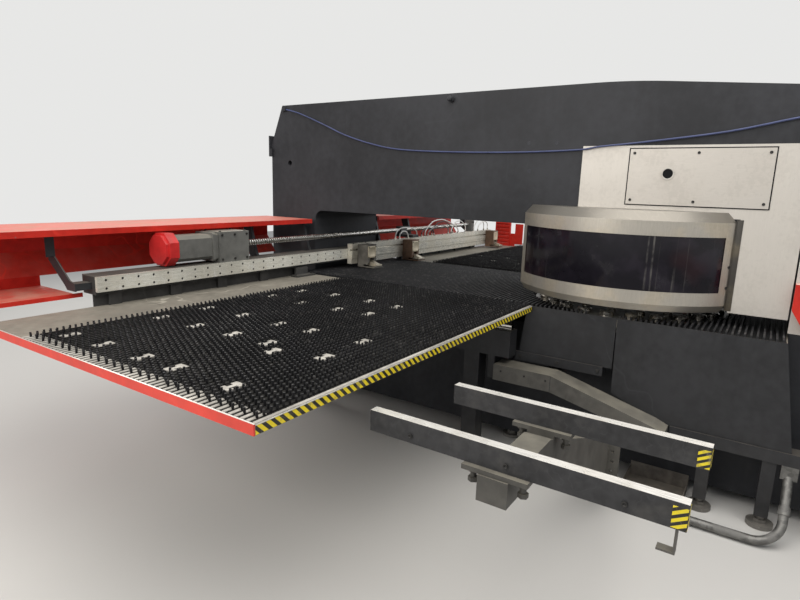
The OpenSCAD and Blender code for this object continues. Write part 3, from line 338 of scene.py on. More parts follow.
@dataclass(frozen=True)
class GroundSteel(Finish):
    """Bright steel: a grain along one axis, oil stains, faint heat tint, and painted shade on the faces that
    look up where a finish asks for it.
    """

    grain: Along = Along.Z
    stain: float = 0.3
    warm: float = 0.35
    metal: float = 1.0
    grain_size: float = 0.0012
    contrast: float = 1.0
    scratched: float = 0.25
    warm_tint: Colour = (0.62, 0.50, 0.30)
    band: Optional[Flat] = None
    upper: float = 1.0

    def make(self) -> bpy.types.Material:
        """Builds the steel."""
        s = Shade(self.name)
        scale = [1.0, 1.0, 1.0]
        scale[self.grain.value] = 0.02
        hair = s.noise(self.grain_size, 3.0, s.stretched(*scale), 0.7)
        broad = s.noise(0.22, 4.0)
        dark, light = self.tone(1 - 0.18 * self.contrast), self.tone(1 + 0.12 * self.contrast)
        tone = s.mix(hair.ease(0.3, 0.7), dark, light)
        tone = s.mix(broad.ease(0.46, 0.62) * self.warm, tone, self.warm_tint)
        stained = (broad * 0.5 + s.noise(0.02, 5.0) * 0.5).ease(0.50, 0.60) * self.stain
        tone = s.mix(stained, tone, self.tone(0.45))
        if self.band:
            tone = self.worn_band(s, tone, *self.band)
        # Painted shade: the faces that look up are darkened by a factor.
        if self.upper != 1.0:
            tone = s.mix(s.up.ease(0.25, 0.6), tone, self.tone(self.upper))
        tone = s.mix(s.scratches(0.12) * self.scratched, tone, self.tone(1.35))
        gloss = self.rough + (hair - 0.5) * 0.25 + stained * 0.25 + (broad - 0.5) * 0.12
        return s.surface(
            Base_Color=tone,
            Roughness=gloss.most(0.08).least(0.9),
            Metallic=self.metal,
            Normal=s.bump(hair, 0.00012, 0.35),
        )

    def worn_band(self, s: Shade, tone: Sock, low: float, high: float) -> Sock:
        """Darkens the steel outside the band that a slide rubs, and in worn streaks along it.

        Args:
            s: The material in the making.
            tone: Its colour so far.
            low: The height where the band starts.
            high: The height where it ends.

        Returns:
            The new colour.
        """
        edge = abs(s.z - (low + high) / 2)
        tone = s.mix(edge.ease(0.25 * (high - low), 0.55 * (high - low)), tone, self.tone(0.6))
        worn = s.noise(0.6, 3.0, s.stretched(1.0, 0.05, 0.05)).ease(0.42, 0.62)
        return s.mix(worn * 0.6, tone, self.tone(0.5))


@dataclass(frozen=True)
class Casting(Finish):
    """Machined or raw iron with a thin film of oil and dust."""

    grit: float = 0.0008
    dust: float = 0.25
    dust_colour: Colour = (0.27, 0.25, 0.21)
    metal: float = 0.55

    def make(self) -> bpy.types.Material:
        """Builds the iron."""
        s = Shade(self.name)
        broad, fine = s.noise(0.3, 4.0), s.noise(0.012, 5.0)
        tone = s.mix(broad.ease(0.35, 0.65), self.tone(0.72), self.tone(1.3))
        tone = s.mix(fine.ease(0.55, 0.7) * 0.35, tone, self.tone(1.9))
        lying = s.up.ease(0.4, 0.95) * self.dust * s.noise(0.09, 5.0).ease(0.35, 0.6)
        return s.surface(
            Base_Color=s.mix(lying, tone, self.dust_colour),
            Roughness=(self.rough + (fine - 0.5) * 0.3 + lying * 0.4).most(0.15).least(0.95),
            Metallic=(1.0 - lying) * self.metal,
            Normal=s.bump(fine, self.grit, 0.4),
        )


@dataclass(frozen=True)
class Moulded(Finish):
    """Moulded plastic or rubber with a fine grain."""

    coat: float = 0.0
    shine: float = 0.5
    mottle: float = 0.1
    dust: float = 0.15
    dust_colour: Colour = (0.28, 0.26, 0.23)

    def make(self) -> bpy.types.Material:
        """Builds the plastic."""
        s = Shade(self.name)
        cloud = s.noise(0.1, 4.0).ease(0.35, 0.65)
        tone = s.mix(cloud, self.tone(1 - self.mottle), self.tone(1 + self.mottle))
        lying = s.up.ease(0.3, 0.9) * self.dust * s.noise(0.04, 5.0).ease(0.35, 0.65)
        gloss = self.rough + (s.noise(0.02, 4.0) - 0.5) * 0.2 + lying * 0.3
        return s.surface(
            Base_Color=s.mix(lying, tone, self.dust_colour),
            Roughness=gloss.most(0.05).least(0.95),
            Normal=s.bump(s.noise(0.0016, 2.0), 0.00008, 0.4),
            Coat_Weight=self.coat,
            Coat_Roughness=0.12,
            Specular_IOR_Level=self.shine,
        )


@dataclass(frozen=True)
class Bristle(Finish):
    """Nylon bristle: black stems that are greyer at their tips as a painted highlight, and dustier there."""

    foot: float = 0.953
    tip: float = 0.972
    dust_colour: Colour = (0.13, 0.125, 0.12)

    def make(self) -> bpy.types.Material:
        """Builds the bristle."""
        s = Shade(self.name)
        height = s.z.ease(self.foot, self.tip)
        patch = s.noise(0.35, 4.0).ease(0.42, 0.64)
        # Painted highlight: the stems turn greyer towards their tips, in patches.
        tone = s.mix(height * (0.35 + patch * 0.65), self.colour, self.tone(2.2))
        hair = s.noise(0.0011, 2.0, s.stretched(1.0, 1.0, 0.06))
        return s.surface(
            Base_Color=s.mix(s.cells(0.026).ease(0.80, 0.95) * height * 0.35, tone, self.dust_colour),
            Roughness=(self.rough + (hair - 0.5) * 0.3).least(0.95),
            Normal=s.bump(hair, 0.0005, 0.7),
            Specular_IOR_Level=0.2,
        )


@dataclass(frozen=True)
class HazardTape(Finish):
    """Yellow and black slanted stripes, scuffed and dirty."""

    across: Along = Along.X
    pitch: float = 0.038
    slant: float = 1.0
    yellow: Colour = (0.83, 0.66, 0.02)
    dirt_colour: Colour = (0.13, 0.115, 0.08)
    scuff_colour: Colour = (0.30, 0.28, 0.20)

    def make(self) -> bpy.types.Material:
        """Builds the tape."""
        s = Shade(self.name)
        along = (s.x, s.y, s.z)[self.across.value]
        wave = ((along + s.z * self.slant) / self.pitch) % 1.0
        tone = s.mix(wave.ease(0.46, 0.49) * wave.ease(1.0, 0.97), self.colour, self.yellow)
        dirt = s.noise(0.03, 6.0).ease(0.52, 0.68)
        tone = s.mix(dirt * 0.45, tone, self.dirt_colour)
        tone = s.mix(s.scratches(0.05) * 0.3, tone, self.scuff_colour)
        rough = self.rough + dirt * 0.3
        return s.surface(Base_Color=tone, Roughness=rough, Normal=s.bump(s.noise(0.006), 0.0003, 0.3))


@dataclass(frozen=True)
class Thread(Finish):
    """A rolled ball thread on a shaft along Y, darkened in its groove as painted shade."""

    centre: Flat = (-0.5, 0.770)
    lead: float = 0.020
    oil_colour: Colour = (0.12, 0.10, 0.075)

    def make(self) -> bpy.types.Material:
        """Builds the thread."""
        s = Shade(self.name)
        angle = (s.z - self.centre[1]).angle(s.x - self.centre[0])
        wave = (s.y / self.lead - angle / (2 * math.pi)) % 1.0
        groove = abs(wave - 0.5).ease(0.30, 0.16)
        oil = s.noise(0.15, 4.0).ease(0.4, 0.65)
        return s.surface(
            # Painted shade: the groove is darkened far below the crest's tone.
            Base_Color=s.mix(oil * 0.35, s.mix(groove, self.tone(1.25), self.tone(0.22)), self.oil_colour),
            Roughness=self.rough + oil * 0.2,
            Metallic=0.9,
            Normal=s.bump(1.0 - groove, 0.004, 0.9),
        )


@dataclass(frozen=True)
class Glazing(Finish):
    """Dark tinted sheet with rubbed patches, and painted reflections on it: a purple-grey haze, faint
    vertical highlight streaks and a reddish tint.
    """

    haze_colour: Colour = (0.024, 0.020, 0.029)
    streak_colour: Colour = (0.10, 0.095, 0.09)
    warm_colour: Colour = (0.026, 0.010, 0.012)

    def make(self) -> bpy.types.Material:
        """Builds the glazing."""
        s = Shade(self.name)
        highlight_streak = s.noise(0.020, 1.0, s.stretched(1.0, 1.0, 0.012)).ease(0.66, 0.80)
        smear = s.noise(0.11, 5.0)
        # Painted reflection: a purple-grey haze in broad patches.
        tone = s.mix(s.noise(0.16, 3.0).ease(0.45, 0.65) * 0.5, self.colour, self.haze_colour)
        # Painted highlights: faint vertical streaks where the rubbed patches lie.
        tone = s.mix(highlight_streak * smear.ease(0.4, 0.6), tone, self.streak_colour)
        return s.surface(
            # Painted reflection: a reddish tint in broad patches, as of the red hoods.
            Base_Color=s.mix(s.noise(0.3, 2.0).ease(0.5, 0.7) * 0.5, tone, self.warm_colour),
            Roughness=self.rough + smear.ease(0.55, 0.68) * 0.2,
            Normal=s.bump(s.noise(0.02, 2.0), 0.0003, 0.12),
            Specular_IOR_Level=0.28,
        )


@dataclass(frozen=True)
class TwoFaced(Finish):
    """Paint below a height and bare rubbed steel on the faces that look up above it."""

    above: float = 0.8485
    steel: Colour = (0.86, 0.84, 0.80)
    rust: Colour = (0.42, 0.38, 0.31)
    dust_colour: Colour = (0.20, 0.185, 0.155)

    def make(self) -> bpy.types.Material:
        """Builds the finish."""
        s = Shade(self.name)
        top = s.z.ease(self.above, self.above + 0.001) * s.up.ease(0.5, 0.9)
        broad, fine = s.noise(0.3, 4.0), s.noise(0.03, 5.0)
        paint = s.mix((broad * 0.6 + fine * 0.4).ease(0.35, 0.65), self.tone(0.75), self.tone(1.35))
        paint = s.mix(s.noise(0.12, 6.0).ease(0.50, 0.75) * 0.12, paint, self.dust_colour)
        paint = s.mix(s.scratches(0.08) * 0.2, paint, self.tone(2.2))
        hair = s.noise(0.002, 3.0, s.stretched(1.0, 0.03, 1.0))
        steel = s.mix(hair.ease(0.3, 0.7), toned(self.steel, 0.8), toned(self.steel, 1.15))
        steel = s.mix(broad.ease(0.5, 0.62) * 0.3, steel, self.rust)
        return s.surface(
            Base_Color=s.mix(top, paint, steel),
            Roughness=(self.rough + (fine - 0.5) * 0.25 - top * 0.2).most(0.15),
            Metallic=top * 0.35,
            Normal=s.bump(s.noise(0.004, 2.0), 0.0003, 0.4),
            Specular_IOR_Level=0.3,
        )


@dataclass(frozen=True)
class Spangled(Finish):
    """Galvanised steel: dull grey crystals with white bloom."""

    def make(self) -> bpy.types.Material:
        """Builds the zinc."""
        s = Shade(self.name)
        cell = s.cells(0.018)
        bloom = s.noise(0.08, 5.0).ease(0.50, 0.66)
        return s.surface(
            Base_Color=s.mix(bloom * 0.5, s.mix(cell, self.tone(0.72), self.tone(1.2)), self.tone(1.5)),
            Roughness=self.rough + bloom * 0.25 + cell * 0.1,
            Metallic=0.85 - bloom * 0.4,
            Normal=s.bump(s.noise(0.01, 3.0), 0.0004, 0.3),
        )


DUSTY_RED: Colour = (0.52, 0.25, 0.19)
TAPE_BLACK: Colour = (0.015, 0.014, 0.012)
GUARD_RED = Paint(
    "guard_red", "red_paint", (0.54, 0.026, 0.016), 0.42, dust=0.85, dust_colour=DUSTY_RED, mottle=0.12,
    scuffs=0.3, chips=0.5, shine=0.25,
)
FINISHES: Sequence[Finish] = (
    Paint(
        "charcoal_paint", "frame_paint", (0.029, 0.030, 0.034), 0.50, dust=0.2,
        dust_colour=(0.10, 0.095, 0.088), mottle=0.16, scuffs=0.12, shine=0.2,
    ),
    Paint("table_tan", "table_paint", (0.20, 0.185, 0.155), 0.58, mottle=0.2, scuffs=0.6, chips=0.3),
    Paint(
        "satin_black", "black_paint", (0.028, 0.029, 0.032), 0.46, dust=0.3, mottle=0.22, scuffs=0.35,
        chips=0.25, shine=0.3,
    ),
    Paint(
        "side_black", "black_paint", (0.026, 0.0265, 0.029), 0.42, dust=0.2, mottle=0.16, scuffs=0.2,
        shine=0.25,
    ),
    GUARD_RED,
    # Painted highlight: a heavy pale dust on the faces that look up lightens the louvre slats' tops.
    replace(GUARD_RED, name="louvre_red", dust=1.3, dust_colour=(0.70, 0.48, 0.42)),
    Paint(
        "edge_red", "red_paint", (0.68, 0.050, 0.030), 0.40, dust=0.1, dust_colour=DUSTY_RED, mottle=0.08,
        chips=0.4,
    ),
    Paint(
        "motor_grey", "motor_grey", (0.145, 0.145, 0.136), 0.48, dust=0.7, dust_colour=(0.26, 0.24, 0.19),
        mottle=0.15, shine=0.35,
    ),
    Paint(
        "beam_grey", "beam_steel", (0.042, 0.041, 0.040), 0.55, dust=0.4, dust_colour=(0.20, 0.185, 0.155),
        mottle=0.2, chips=0.3, shine=0.3,
    ),
    Paint("clamp_brown", "clamp_brown", (0.15, 0.085, 0.052), 0.55, dust=0.2, mottle=0.3, chips=0.5),
    Paint(
        "clamp_grey", "beam_steel", (0.12, 0.112, 0.098), 0.5, dust=0.25, mottle=0.3, chips=0.5, shine=0.35
    ),
    Paint(
        "low_beam", "table_paint", (0.078, 0.074, 0.066), 0.6, dust=0.6, dust_colour=(0.27, 0.25, 0.20),
        mottle=0.2,
    ),
    Paint("tray_paint", "table_paint", (0.16, 0.14, 0.12), 0.65, dust=0.5, mottle=0.3, chips=0.6),
    GroundSteel(
        "panel_silver", "silver_paint", (0.545, 0.515, 0.472), 0.42, stain=0.10, warm=0.12, metal=0.3,
        contrast=0.25, scratched=0.04, warm_tint=(0.50, 0.46, 0.41),
    ),
    GroundSteel(
        "plate_silver", "silver_paint", (0.505, 0.475, 0.435), 0.40, grain=Along.Y, stain=0.12, warm=0.15,
        metal=0.35, contrast=0.3, scratched=0.06, warm_tint=(0.48, 0.44, 0.39),
    ),
    GroundSteel(
        # The covers' upward faces are darkened as painted shade, so that the top bevel stays darker than the
        # bands.
        "cover_stainless", "stainless", (0.45, 0.42, 0.37), 0.38, stain=0.12, warm=0.2, metal=0.7,
        contrast=0.7, scratched=0.04, upper=0.45,
    ),
    # Painted shade: the covers' end strips, dark as the end face in shadow.
    GroundSteel("strip_dark", "stainless", (0.050, 0.046, 0.040), 0.45, stain=0.2, warm=0.1, metal=0.4),
    GroundSteel(
        "guide_steel", "polished_steel", (0.97, 0.94, 0.82), 0.26, grain=Along.X, stain=0.08, warm=0.15,
        metal=0.2, band=(1.018, 1.118),
    ),
    GroundSteel(
        "carriage_steel", "polished_steel", (0.74, 0.71, 0.62), 0.28, grain=Along.X, stain=0.15, warm=0.15,
        metal=0.4,
    ),
    GroundSteel(
        "plate_beige", "tool_steel", (0.66, 0.58, 0.43), 0.40, grain=Along.X, stain=0.15, warm=0.2, metal=0.3
    ),
    GroundSteel(
        "trim_bright", "polished_steel", (0.80, 0.78, 0.73), 0.30, grain=Along.X, stain=0.12, warm=0.1,
        metal=0.4,
    ),
    GroundSteel(
        "screw_bead", "polished_steel", (0.80, 0.79, 0.76), 0.22, grain=Along.X, stain=0.35, warm=0.15
    ),
    GroundSteel(
        "rail_steel", "polished_steel", (0.60, 0.59, 0.56), 0.22, grain=Along.Y, stain=0.25, warm=0.15
    ),
    GroundSteel("jaw_steel", "tool_steel", (0.66, 0.62, 0.53), 0.4, grain=Along.Y, warm=0.3),
    GroundSteel("tool_steel", "tool_steel", (0.50, 0.48, 0.44), 0.26, stain=0.25, warm=0.3),
    GroundSteel("rod_steel", "polished_steel", (0.72, 0.71, 0.68), 0.14, stain=0.1, warm=0.1),
    GroundSteel("bronze", "tool_steel", (0.46, 0.34, 0.17), 0.3, grain=Along.X, stain=0.35, warm=0.2),
    GroundSteel(
        "screw_black", "zinc", (0.022, 0.021, 0.020), 0.5, grain=Along.X, stain=0.2, warm=0.0, metal=0.2
    ),
    GroundSteel("screw_bright", "zinc", (0.58, 0.56, 0.52), 0.3, stain=0.35, warm=0.2),
    Casting("turret_iron", "turret_steel", (0.24, 0.235, 0.225), 0.38),
    Casting("saddle_iron", "beam_steel", (0.07, 0.07, 0.072), 0.5),
    # Painted shade: the X screw's core between its bright ribs, far darker than the ribs' steel.
    Casting("thread_root", "polished_steel", (0.10, 0.095, 0.085), 0.4),
    Casting("gauge_grey", "tool_steel", (0.085, 0.083, 0.08), 0.45),
    Casting("foot_steel", "zinc", (0.20, 0.19, 0.175), 0.55, metal=0.7),
    Moulded("cap_red", "red_cap", (0.62, 0.030, 0.030), 0.32, coat=0.25),
    Moulded("hose_grey", "cable_sheath", (0.20, 0.20, 0.195), 0.42),
    Moulded("hose_black", "cable_sheath", (0.028, 0.028, 0.030), 0.45),
    Moulded("hose_white", "cable_sheath", (0.78, 0.77, 0.73), 0.38, coat=0.2),
    Moulded("cable_blue", "cable_sheath", (0.045, 0.060, 0.15), 0.5),
    Moulded("plug_slate", "frame_paint", (0.022, 0.024, 0.032), 0.42, shine=0.3),
    Moulded("plug_black", "black_paint", (0.008, 0.008, 0.009), 0.6, shine=0.1),
    Moulded("rim_silver", "silver_paint", (0.50, 0.475, 0.435), 0.4),
    Moulded("mat_pale", "bristle", (0.42, 0.40, 0.36), 0.6, mottle=0.25, dust=0.4),
    # Painted shade: the mat among the tufts, dark where its open edges are pale.
    Moulded("mat_dark", "bristle", (0.011, 0.011, 0.011), 0.7, shine=0.1, mottle=0.25, dust=0.05),
    Bristle("bristle_black", "bristle", (0.011, 0.011, 0.012), 0.55),
    Bristle("bristle_low", "bristle", (0.012, 0.012, 0.013), 0.55, foot=0.943, tip=0.962),
    HazardTape("tape_front", "frame_paint", TAPE_BLACK, 0.42, pitch=0.034),
    HazardTape("tape_side", "frame_paint", TAPE_BLACK, 0.42, across=Along.Y, slant=1.8),
    HazardTape("tape_end", "frame_paint", TAPE_BLACK, 0.42, slant=-1.8),
    Thread("y_thread", "polished_steel", (0.42, 0.40, 0.36), 0.28),
    Glazing("dark_glazing", "tinted_window", (0.0075, 0.0065, 0.0095), 0.10),
    TwoFaced("arm_grey", "arm_paint", (0.034, 0.034, 0.036), 0.5),
    Spangled("zinc_spangle", "galvanised", (0.17, 0.167, 0.16), 0.45),
)


class Palette:
    """All the press's finishes, each made once when it is first asked for."""

    def __init__(self, nodes: Dict[str, bpy.types.Object]) -> None:
        """Lists the finishes by name.

        Args:
            nodes: The CAD nodes that it will dress.
        """
        self.nodes = nodes
        self.finishes = {finish.name: finish for finish in FINISHES}
        self.made: Dict[str, bpy.types.Material] = {}

    def get(self, name: str) -> bpy.types.Material:
        """The material of that finish."""
        if name not in self.made:
            self.made[name] = self.finishes[name].make()
        return self.made[name]

    def dress_node(self, name: str, finish: str) -> None:
        """Gives a CAD node one finish, in all of its slots.

        Args:
            name: The node's name.
            finish: The finish's name.
        """
        node = self.nodes[name]
        if not node.material_slots:
            node.data.materials.append(self.get(finish))
        for held in node.material_slots:
            held.material = self.get(finish)

    def dress(self, held: bpy.types.Object, finish: str) -> None:
        """Gives a new object a finish.

        Args:
            held: The object.
            finish: The finish's name.
        """
        held.data.materials.clear()
        held.data.materials.append(self.get(finish))


# Modelling


class Piece:
    """A new object, modelled as by hand: a primitive, operators in edit mode, and applied modifiers."""

    sharp = math.radians(40.0)
    smooth = math.radians(35.0)

    def __init__(self, name: str, held: Optional[bpy.types.Object] = None) -> None:
        """Takes up an object, or the one that an operator has just made, under a name."""
        self.held = held or bpy.context.active_object
        self.rename(name)

    def rename(self, name: str) -> "Piece":
        """Names the object and its mesh."""
        self.held.name = self.held.data.name = name
        return self

    @staticmethod
    def deselect() -> None:
        """Deselects everything."""
        bpy.ops.object.select_all(action="DESELECT")

    def select(self) -> None:
        """Selects this piece alone."""
        Piece.deselect()
        self.held.select_set(True)
        bpy.context.view_layer.objects.active = self.held

    def settle(self) -> "Piece":
        """Puts the piece's place, turn and size into its mesh."""
        self.select()
        bpy.ops.object.transform_apply(location=True, rotation=True, scale=True)
        return self

    @classmethod
    def block(cls, name: str, low: Point, high: Point) -> "Piece":
        """A block between two opposite corners.

        Args:
            name: Its name.
            low: One corner.
            high: The other.

        Returns:
            The block.
        """
        cls.deselect()
        bpy.ops.mesh.primitive_cube_add(size=1.0, location=(Vector(low) + Vector(high)) / 2)
        bpy.context.active_object.scale = [abs(part) for part in Vector(high) - Vector(low)]
        return cls(name).settle()

    @classmethod
    def rod(cls, name: str, start: Point, end: Point, radius: float, sides: int = 24) -> "Piece":
        """A round bar between two points.

        Args:
            name: Its name.
            start: The centre of one end.
            end: The centre of the other end.
            radius: Its radius.
            sides: How many sides it has.

        Returns:
            The bar.
        """
        cls.deselect()
        run = Vector(end) - Vector(start)
        bpy.ops.mesh.primitive_cylinder_add(
            vertices=sides,
            radius=radius,
            depth=run.length,
            location=Vector(start) + run / 2,
            rotation=run.to_track_quat("Z", "Y").to_euler(),
        )
        return cls(name).settle()

    @classmethod
    def profile(cls, name: str, outline: Sequence[Flat], along: Along, ends: Flat) -> "Piece":
        """A bar with a section, drawn as one face and extruded.

        Args:
            name: Its name.
            outline: The section's corners in the two other axes, in order.
            along: The axis that it runs along.
            ends: Where it starts and ends on that axis.

        Returns:
            The bar.
        """
        cls.deselect()
        bpy.ops.mesh.primitive_circle_add(vertices=len(outline), radius=1.0, fill_type="NGON")
        made = cls(name)
        for vertex, corner in zip(made.held.data.vertices, outline):
            spot = list(corner)
            spot.insert(along.value, ends[0])
            vertex.co = spot
        made.settle()
        move = [0.0, 0.0, 0.0]
        move[along.value] = ends[1] - ends[0]
        with made.edit():
            bpy.ops.mesh.extrude_region_move(TRANSFORM_OT_translate={"value": move})
        with made.edit():
            bpy.ops.mesh.remove_doubles(threshold=0.00002)
            bpy.ops.mesh.normals_make_consistent(inside=False)
        return made

    @contextmanager
    def edit(self, pick: Pick = Pick.FACE, chosen: Callable[..., bool] = lambda part: True) -> Iterator[None]:
        """Opens edit mode with some faces or vertices selected, and closes it again.

        Args:
            pick: Which of the two are selected.
            chosen: Tells whether to select one of them.
        """
        self.select()
        bpy.ops.object.mode_set(mode="EDIT")
        bpy.ops.mesh.select_mode(type=pick.name)
        bpy.ops.mesh.select_all(action="DESELECT")
        bpy.ops.object.mode_set(mode="OBJECT")
        for part in getattr(self.held.data, pick.value):
            part.select = chosen(part)
        bpy.ops.object.mode_set(mode="EDIT")
        yield
        bpy.ops.object.mode_set(mode="OBJECT")

    def inset(self, look: Point, width: float, depth: float, reach: float = math.inf) -> "Piece":
        """Insets the faces that look one way, then moves them in by a depth.

        Args:
            look: The way that the faces look.
            width: The width of the rim that stays.
            depth: How far they move in, or out where it is negative.
            reach: How near to the origin their centres have to be.

        Returns:
            The piece.
        """
        way = Vector(look)
        with self.edit(Pick.FACE, lambda face: face.normal.dot(way) > 0.9 and face.center.length < reach):
            bpy.ops.mesh.inset(thickness=width, depth=0.0, use_boundary=True)
            bpy.ops.mesh.inset(thickness=0.0001, depth=-depth)
        return self

    def modify(self, kind: str, **settings: object) -> "Piece":
        """Applies a modifier.

        Args:
            kind: The modifier's type.
            settings: Its settings.

        Returns:
            The piece.
        """
        made = self.held.modifiers.new(kind.lower(), kind)
        for key, value in settings.items():
            setattr(made, key, value)
        self.select()
        bpy.ops.object.modifier_apply(modifier=made.name)
        return self

    def rounded(self, width: float, steps: int = 2) -> "Piece":
        """Rounds the sharp edges, and shades what is left of them smooth.

        Args:
            width: How wide each edge becomes.
            steps: How many faces take an edge's place.

        Returns:
            The piece.
        """
        self.modify("BEVEL", width=width, segments=steps, limit_method="ANGLE", angle_limit=self.sharp)
        bpy.ops.object.shade_smooth_by_angle(angle=self.smooth)
        return self

    def row(self, count: int, step: Point) -> "Piece":
        """Repeats the piece in a straight row."""
        offset = {"use_relative_offset": False, "use_constant_offset": True, "constant_offset_displace": step}
        return self.modify("ARRAY", count=count, **offset)

    def moved_to(self, side: Side) -> "Piece":
        """Turns a piece that is modelled on the right into its mirror image, where its side is the left.

        Args:
            side: The piece's side.

        Returns:
            The piece.
        """
        if side is Side.LEFT:
            self.held.scale.x = -1.0
            self.settle()
            with self.edit():
                bpy.ops.mesh.normals_make_consistent(inside=False)
        return self

    def copied(self, name: str, place: Matrix) -> "Piece":
        """Copies the piece with its own mesh.

        Args:
            name: The copy's name.
            place: What its mesh is moved by.

        Returns:
            The copy.
        """
        twin = self.held.copy()
        twin.data = self.held.data.copy()
        twin.data.transform(place)
        bpy.context.scene.collection.objects.link(twin)
        return Piece(name, twin)

    @staticmethod
    def join(name: str, pieces: Sequence["Piece"]) -> "Piece":
        """Joins pieces into the first.

        Args:
            name: The name that it gets.
            pieces: The pieces.

        Returns:
            The first.
        """
        pieces[0].select()
        for piece in pieces[1:]:
            piece.held.select_set(True)
        bpy.ops.object.join()
        return pieces[0].rename(name)

    def spread(self, name: str, places: Sequence[Matrix]) -> "Piece":
        """Copies the piece to each place, joins the copies and drops the first.

        Args:
            name: The name of what comes out.
            places: What each copy is moved by.

        Returns:
            The joined copies.
        """
        copies = [self.copied(f"{name}_{i}", place) for i, place in enumerate(places)]
        mesh = self.held.data
        bpy.data.objects.remove(self.held)
        bpy.data.meshes.remove(mesh)
        return Piece.join(name, copies)

    def placed(self, name: str, spots: Sequence[Spot], ending: str = "") -> "Piece":
        """Copies a piece that looks up to each spot, each copy turned by chance, as one piece.

        Args:
            name: The name of what comes out. Its length starts the chance.
            spots: The places, each with the way that a copy looks there.
            ending: What is added to the name.

        Returns:
            The joined copies.
        """
        luck = random.Random(len(name))
        places: List[Matrix] = []
        for at, look in spots:
            aim = Vector(look).to_track_quat("Z", "Y").to_matrix().to_4x4()
            turn = Matrix.Rotation(luck.uniform(0, SIXTH_TURN), 4, "Z")
            places.append(Matrix.Translation(Vector(at)) @ aim @ turn)
        return self.spread(name + ending, places)


@dataclass(frozen=True)
class Screw:
    """The sizes of a small screw's head, which is modelled looking up from the origin."""

    radius: float
    height: float

    def blank(self, sides: int) -> Piece:
        """The head before its socket is cut."""
        return Piece.rod("screw", (0, 0, 0), (0, 0, self.height), self.radius, sides)

    def button(self) -> Piece:
        """A round head with a socket."""
        head = self.blank(20).inset(UP, self.radius * 0.22, 0.0).rounded(min(self.height, self.radius) * 0.35)
        return head.inset(UP, self.radius * 0.25, self.height * 0.45, self.radius * 0.4 + self.height)

    def hexagon(self) -> Piece:
        """A hexagon head on its washer."""
        foot = self.height * 0.22
        washer = Piece.rod("washer", (0, 0, 0), (0, 0, foot), self.radius * 1.35).rounded(self.height * 0.06)
        head = Piece.rod("bolt", (0, 0, foot), (0, 0, self.height), self.radius, 6)
        return Piece.join("bolt", [head.inset(UP, self.radius * 0.14, -self.height * 0.05), washer])

    def cap(self) -> Piece:
        """A cap head with a deep socket."""
        head = self.blank(18).rounded(self.radius * 0.12)
        return head.inset(UP, self.radius * 0.38, self.height * 0.6, self.height + self.radius * 0.2)


@dataclass
class TuftField:
    """A field of bristle tufts: one tuft in staggered rows, thinned out over its bare patches."""

    low: Flat
    high: Flat
    foot: float
    tip: float
    bare: Sequence[Flat]
    patch: Flat
    seed: int
    pitch: float = 0.0262
    stagger: float = 0.5
    radius: float = 0.0046
    lean: float = 0.0011
    droop: float = 0.0012
    missing: float = 0.004

    def is_bare(self, x: float, y: float) -> bool:
        """Tells whether no tuft stands at a place.

        Args:
            x: The place on X.
            y: The place on Y.

        Returns:
            Whether it is outside the field or over a bare patch.
        """
        if not (self.low[0] <= x <= self.high[0] and self.low[1] <= y <= self.high[1]):
            return True
        wide, deep = self.patch
        return any(abs(x - cx) < wide / 2 and abs(y - cy) < deep / 2 for cx, cy in self.bare)

    def build(self, name: str) -> Piece:
        """Builds the field.

        Args:
            name: The piece's name.

        Returns:
            The piece.
        """
        x, y = self.low[0] + self.radius, self.low[1] + self.radius
        tuft = Piece.rod(name, (x, y, self.foot), (x, y, self.tip), self.radius, 5)
        with tuft.edit(Pick.FACE, lambda face: face.normal.z > 0.9):
            bpy.ops.mesh.inset(thickness=self.radius * 0.35, depth=0.0)
        each = len(tuft.held.data.vertices)
        runs = [high - low - 2 * self.radius for low, high in zip(self.low, self.high)]
        columns, rows = (int(run / self.pitch) + 1 for run in runs)
        tuft.row(columns, (self.pitch, 0.0, 0.0)).row(rows, (0.0, self.pitch, 0.0))
        self.shape(tuft, each, columns)
        return tuft

    def shape(self, field: Piece, each: int, columns: int) -> None:
        """Staggers the rows, leans each tuft a little, and deletes those over bare places.

        Args:
            field: The tufts in straight rows.
            each: How many vertices a tuft has.
            columns: How many tufts a row has.
        """
        luck = random.Random(self.seed)
        vertices = field.held.data.vertices
        middle = (self.foot + self.tip) / 2
        gone = set()
        for start in range(0, len(vertices), each):
            shift = (start // each // columns * self.stagger % 1.0) * self.pitch
            sway = luck.gauss(0, self.lean), luck.gauss(0, self.lean), -abs(luck.gauss(0, self.droop))
            tuft = vertices[start : start + each]
            centre = sum((vertex.co for vertex in tuft), Vector()) / each
            if self.is_bare(centre.x + shift, centre.y) or luck.random() < self.missing:
                gone.update(vertex.index for vertex in tuft)
            for vertex in tuft:
                vertex.co.x += shift
                if vertex.co.z > middle:
                    vertex.co += Vector(sway)
        with field.edit(Pick.VERT, lambda vertex: vertex.index in gone):
            bpy.ops.mesh.delete(type="VERT")


def smooth_path(knots: Sequence[Vector], steps: int) -> List[Vector]:
    """The smooth path through a cord's points.

    Args:
        knots: The points that it goes through.
        steps: How many steps each stretch gets.

    Returns:
        The path's points, with both ends.
    """
    ends = [knots[0] * 2 - knots[1], *knots, knots[-1] * 2 - knots[-2]]
    path: List[Vector] = []
    for a, b, c, d in zip(ends, ends[1:], ends[2:], ends[3:]):
        for k in range(steps):
            t = k / steps
            pull = (c - a) * t
            bend = (2 * a - 5 * b + 4 * c - d) * t**2
            sway = (3 * b - a - 3 * c + d) * t**3
            path.append(0.5 * (2 * b + pull + bend + sway))
    return [*path, knots[-1]]


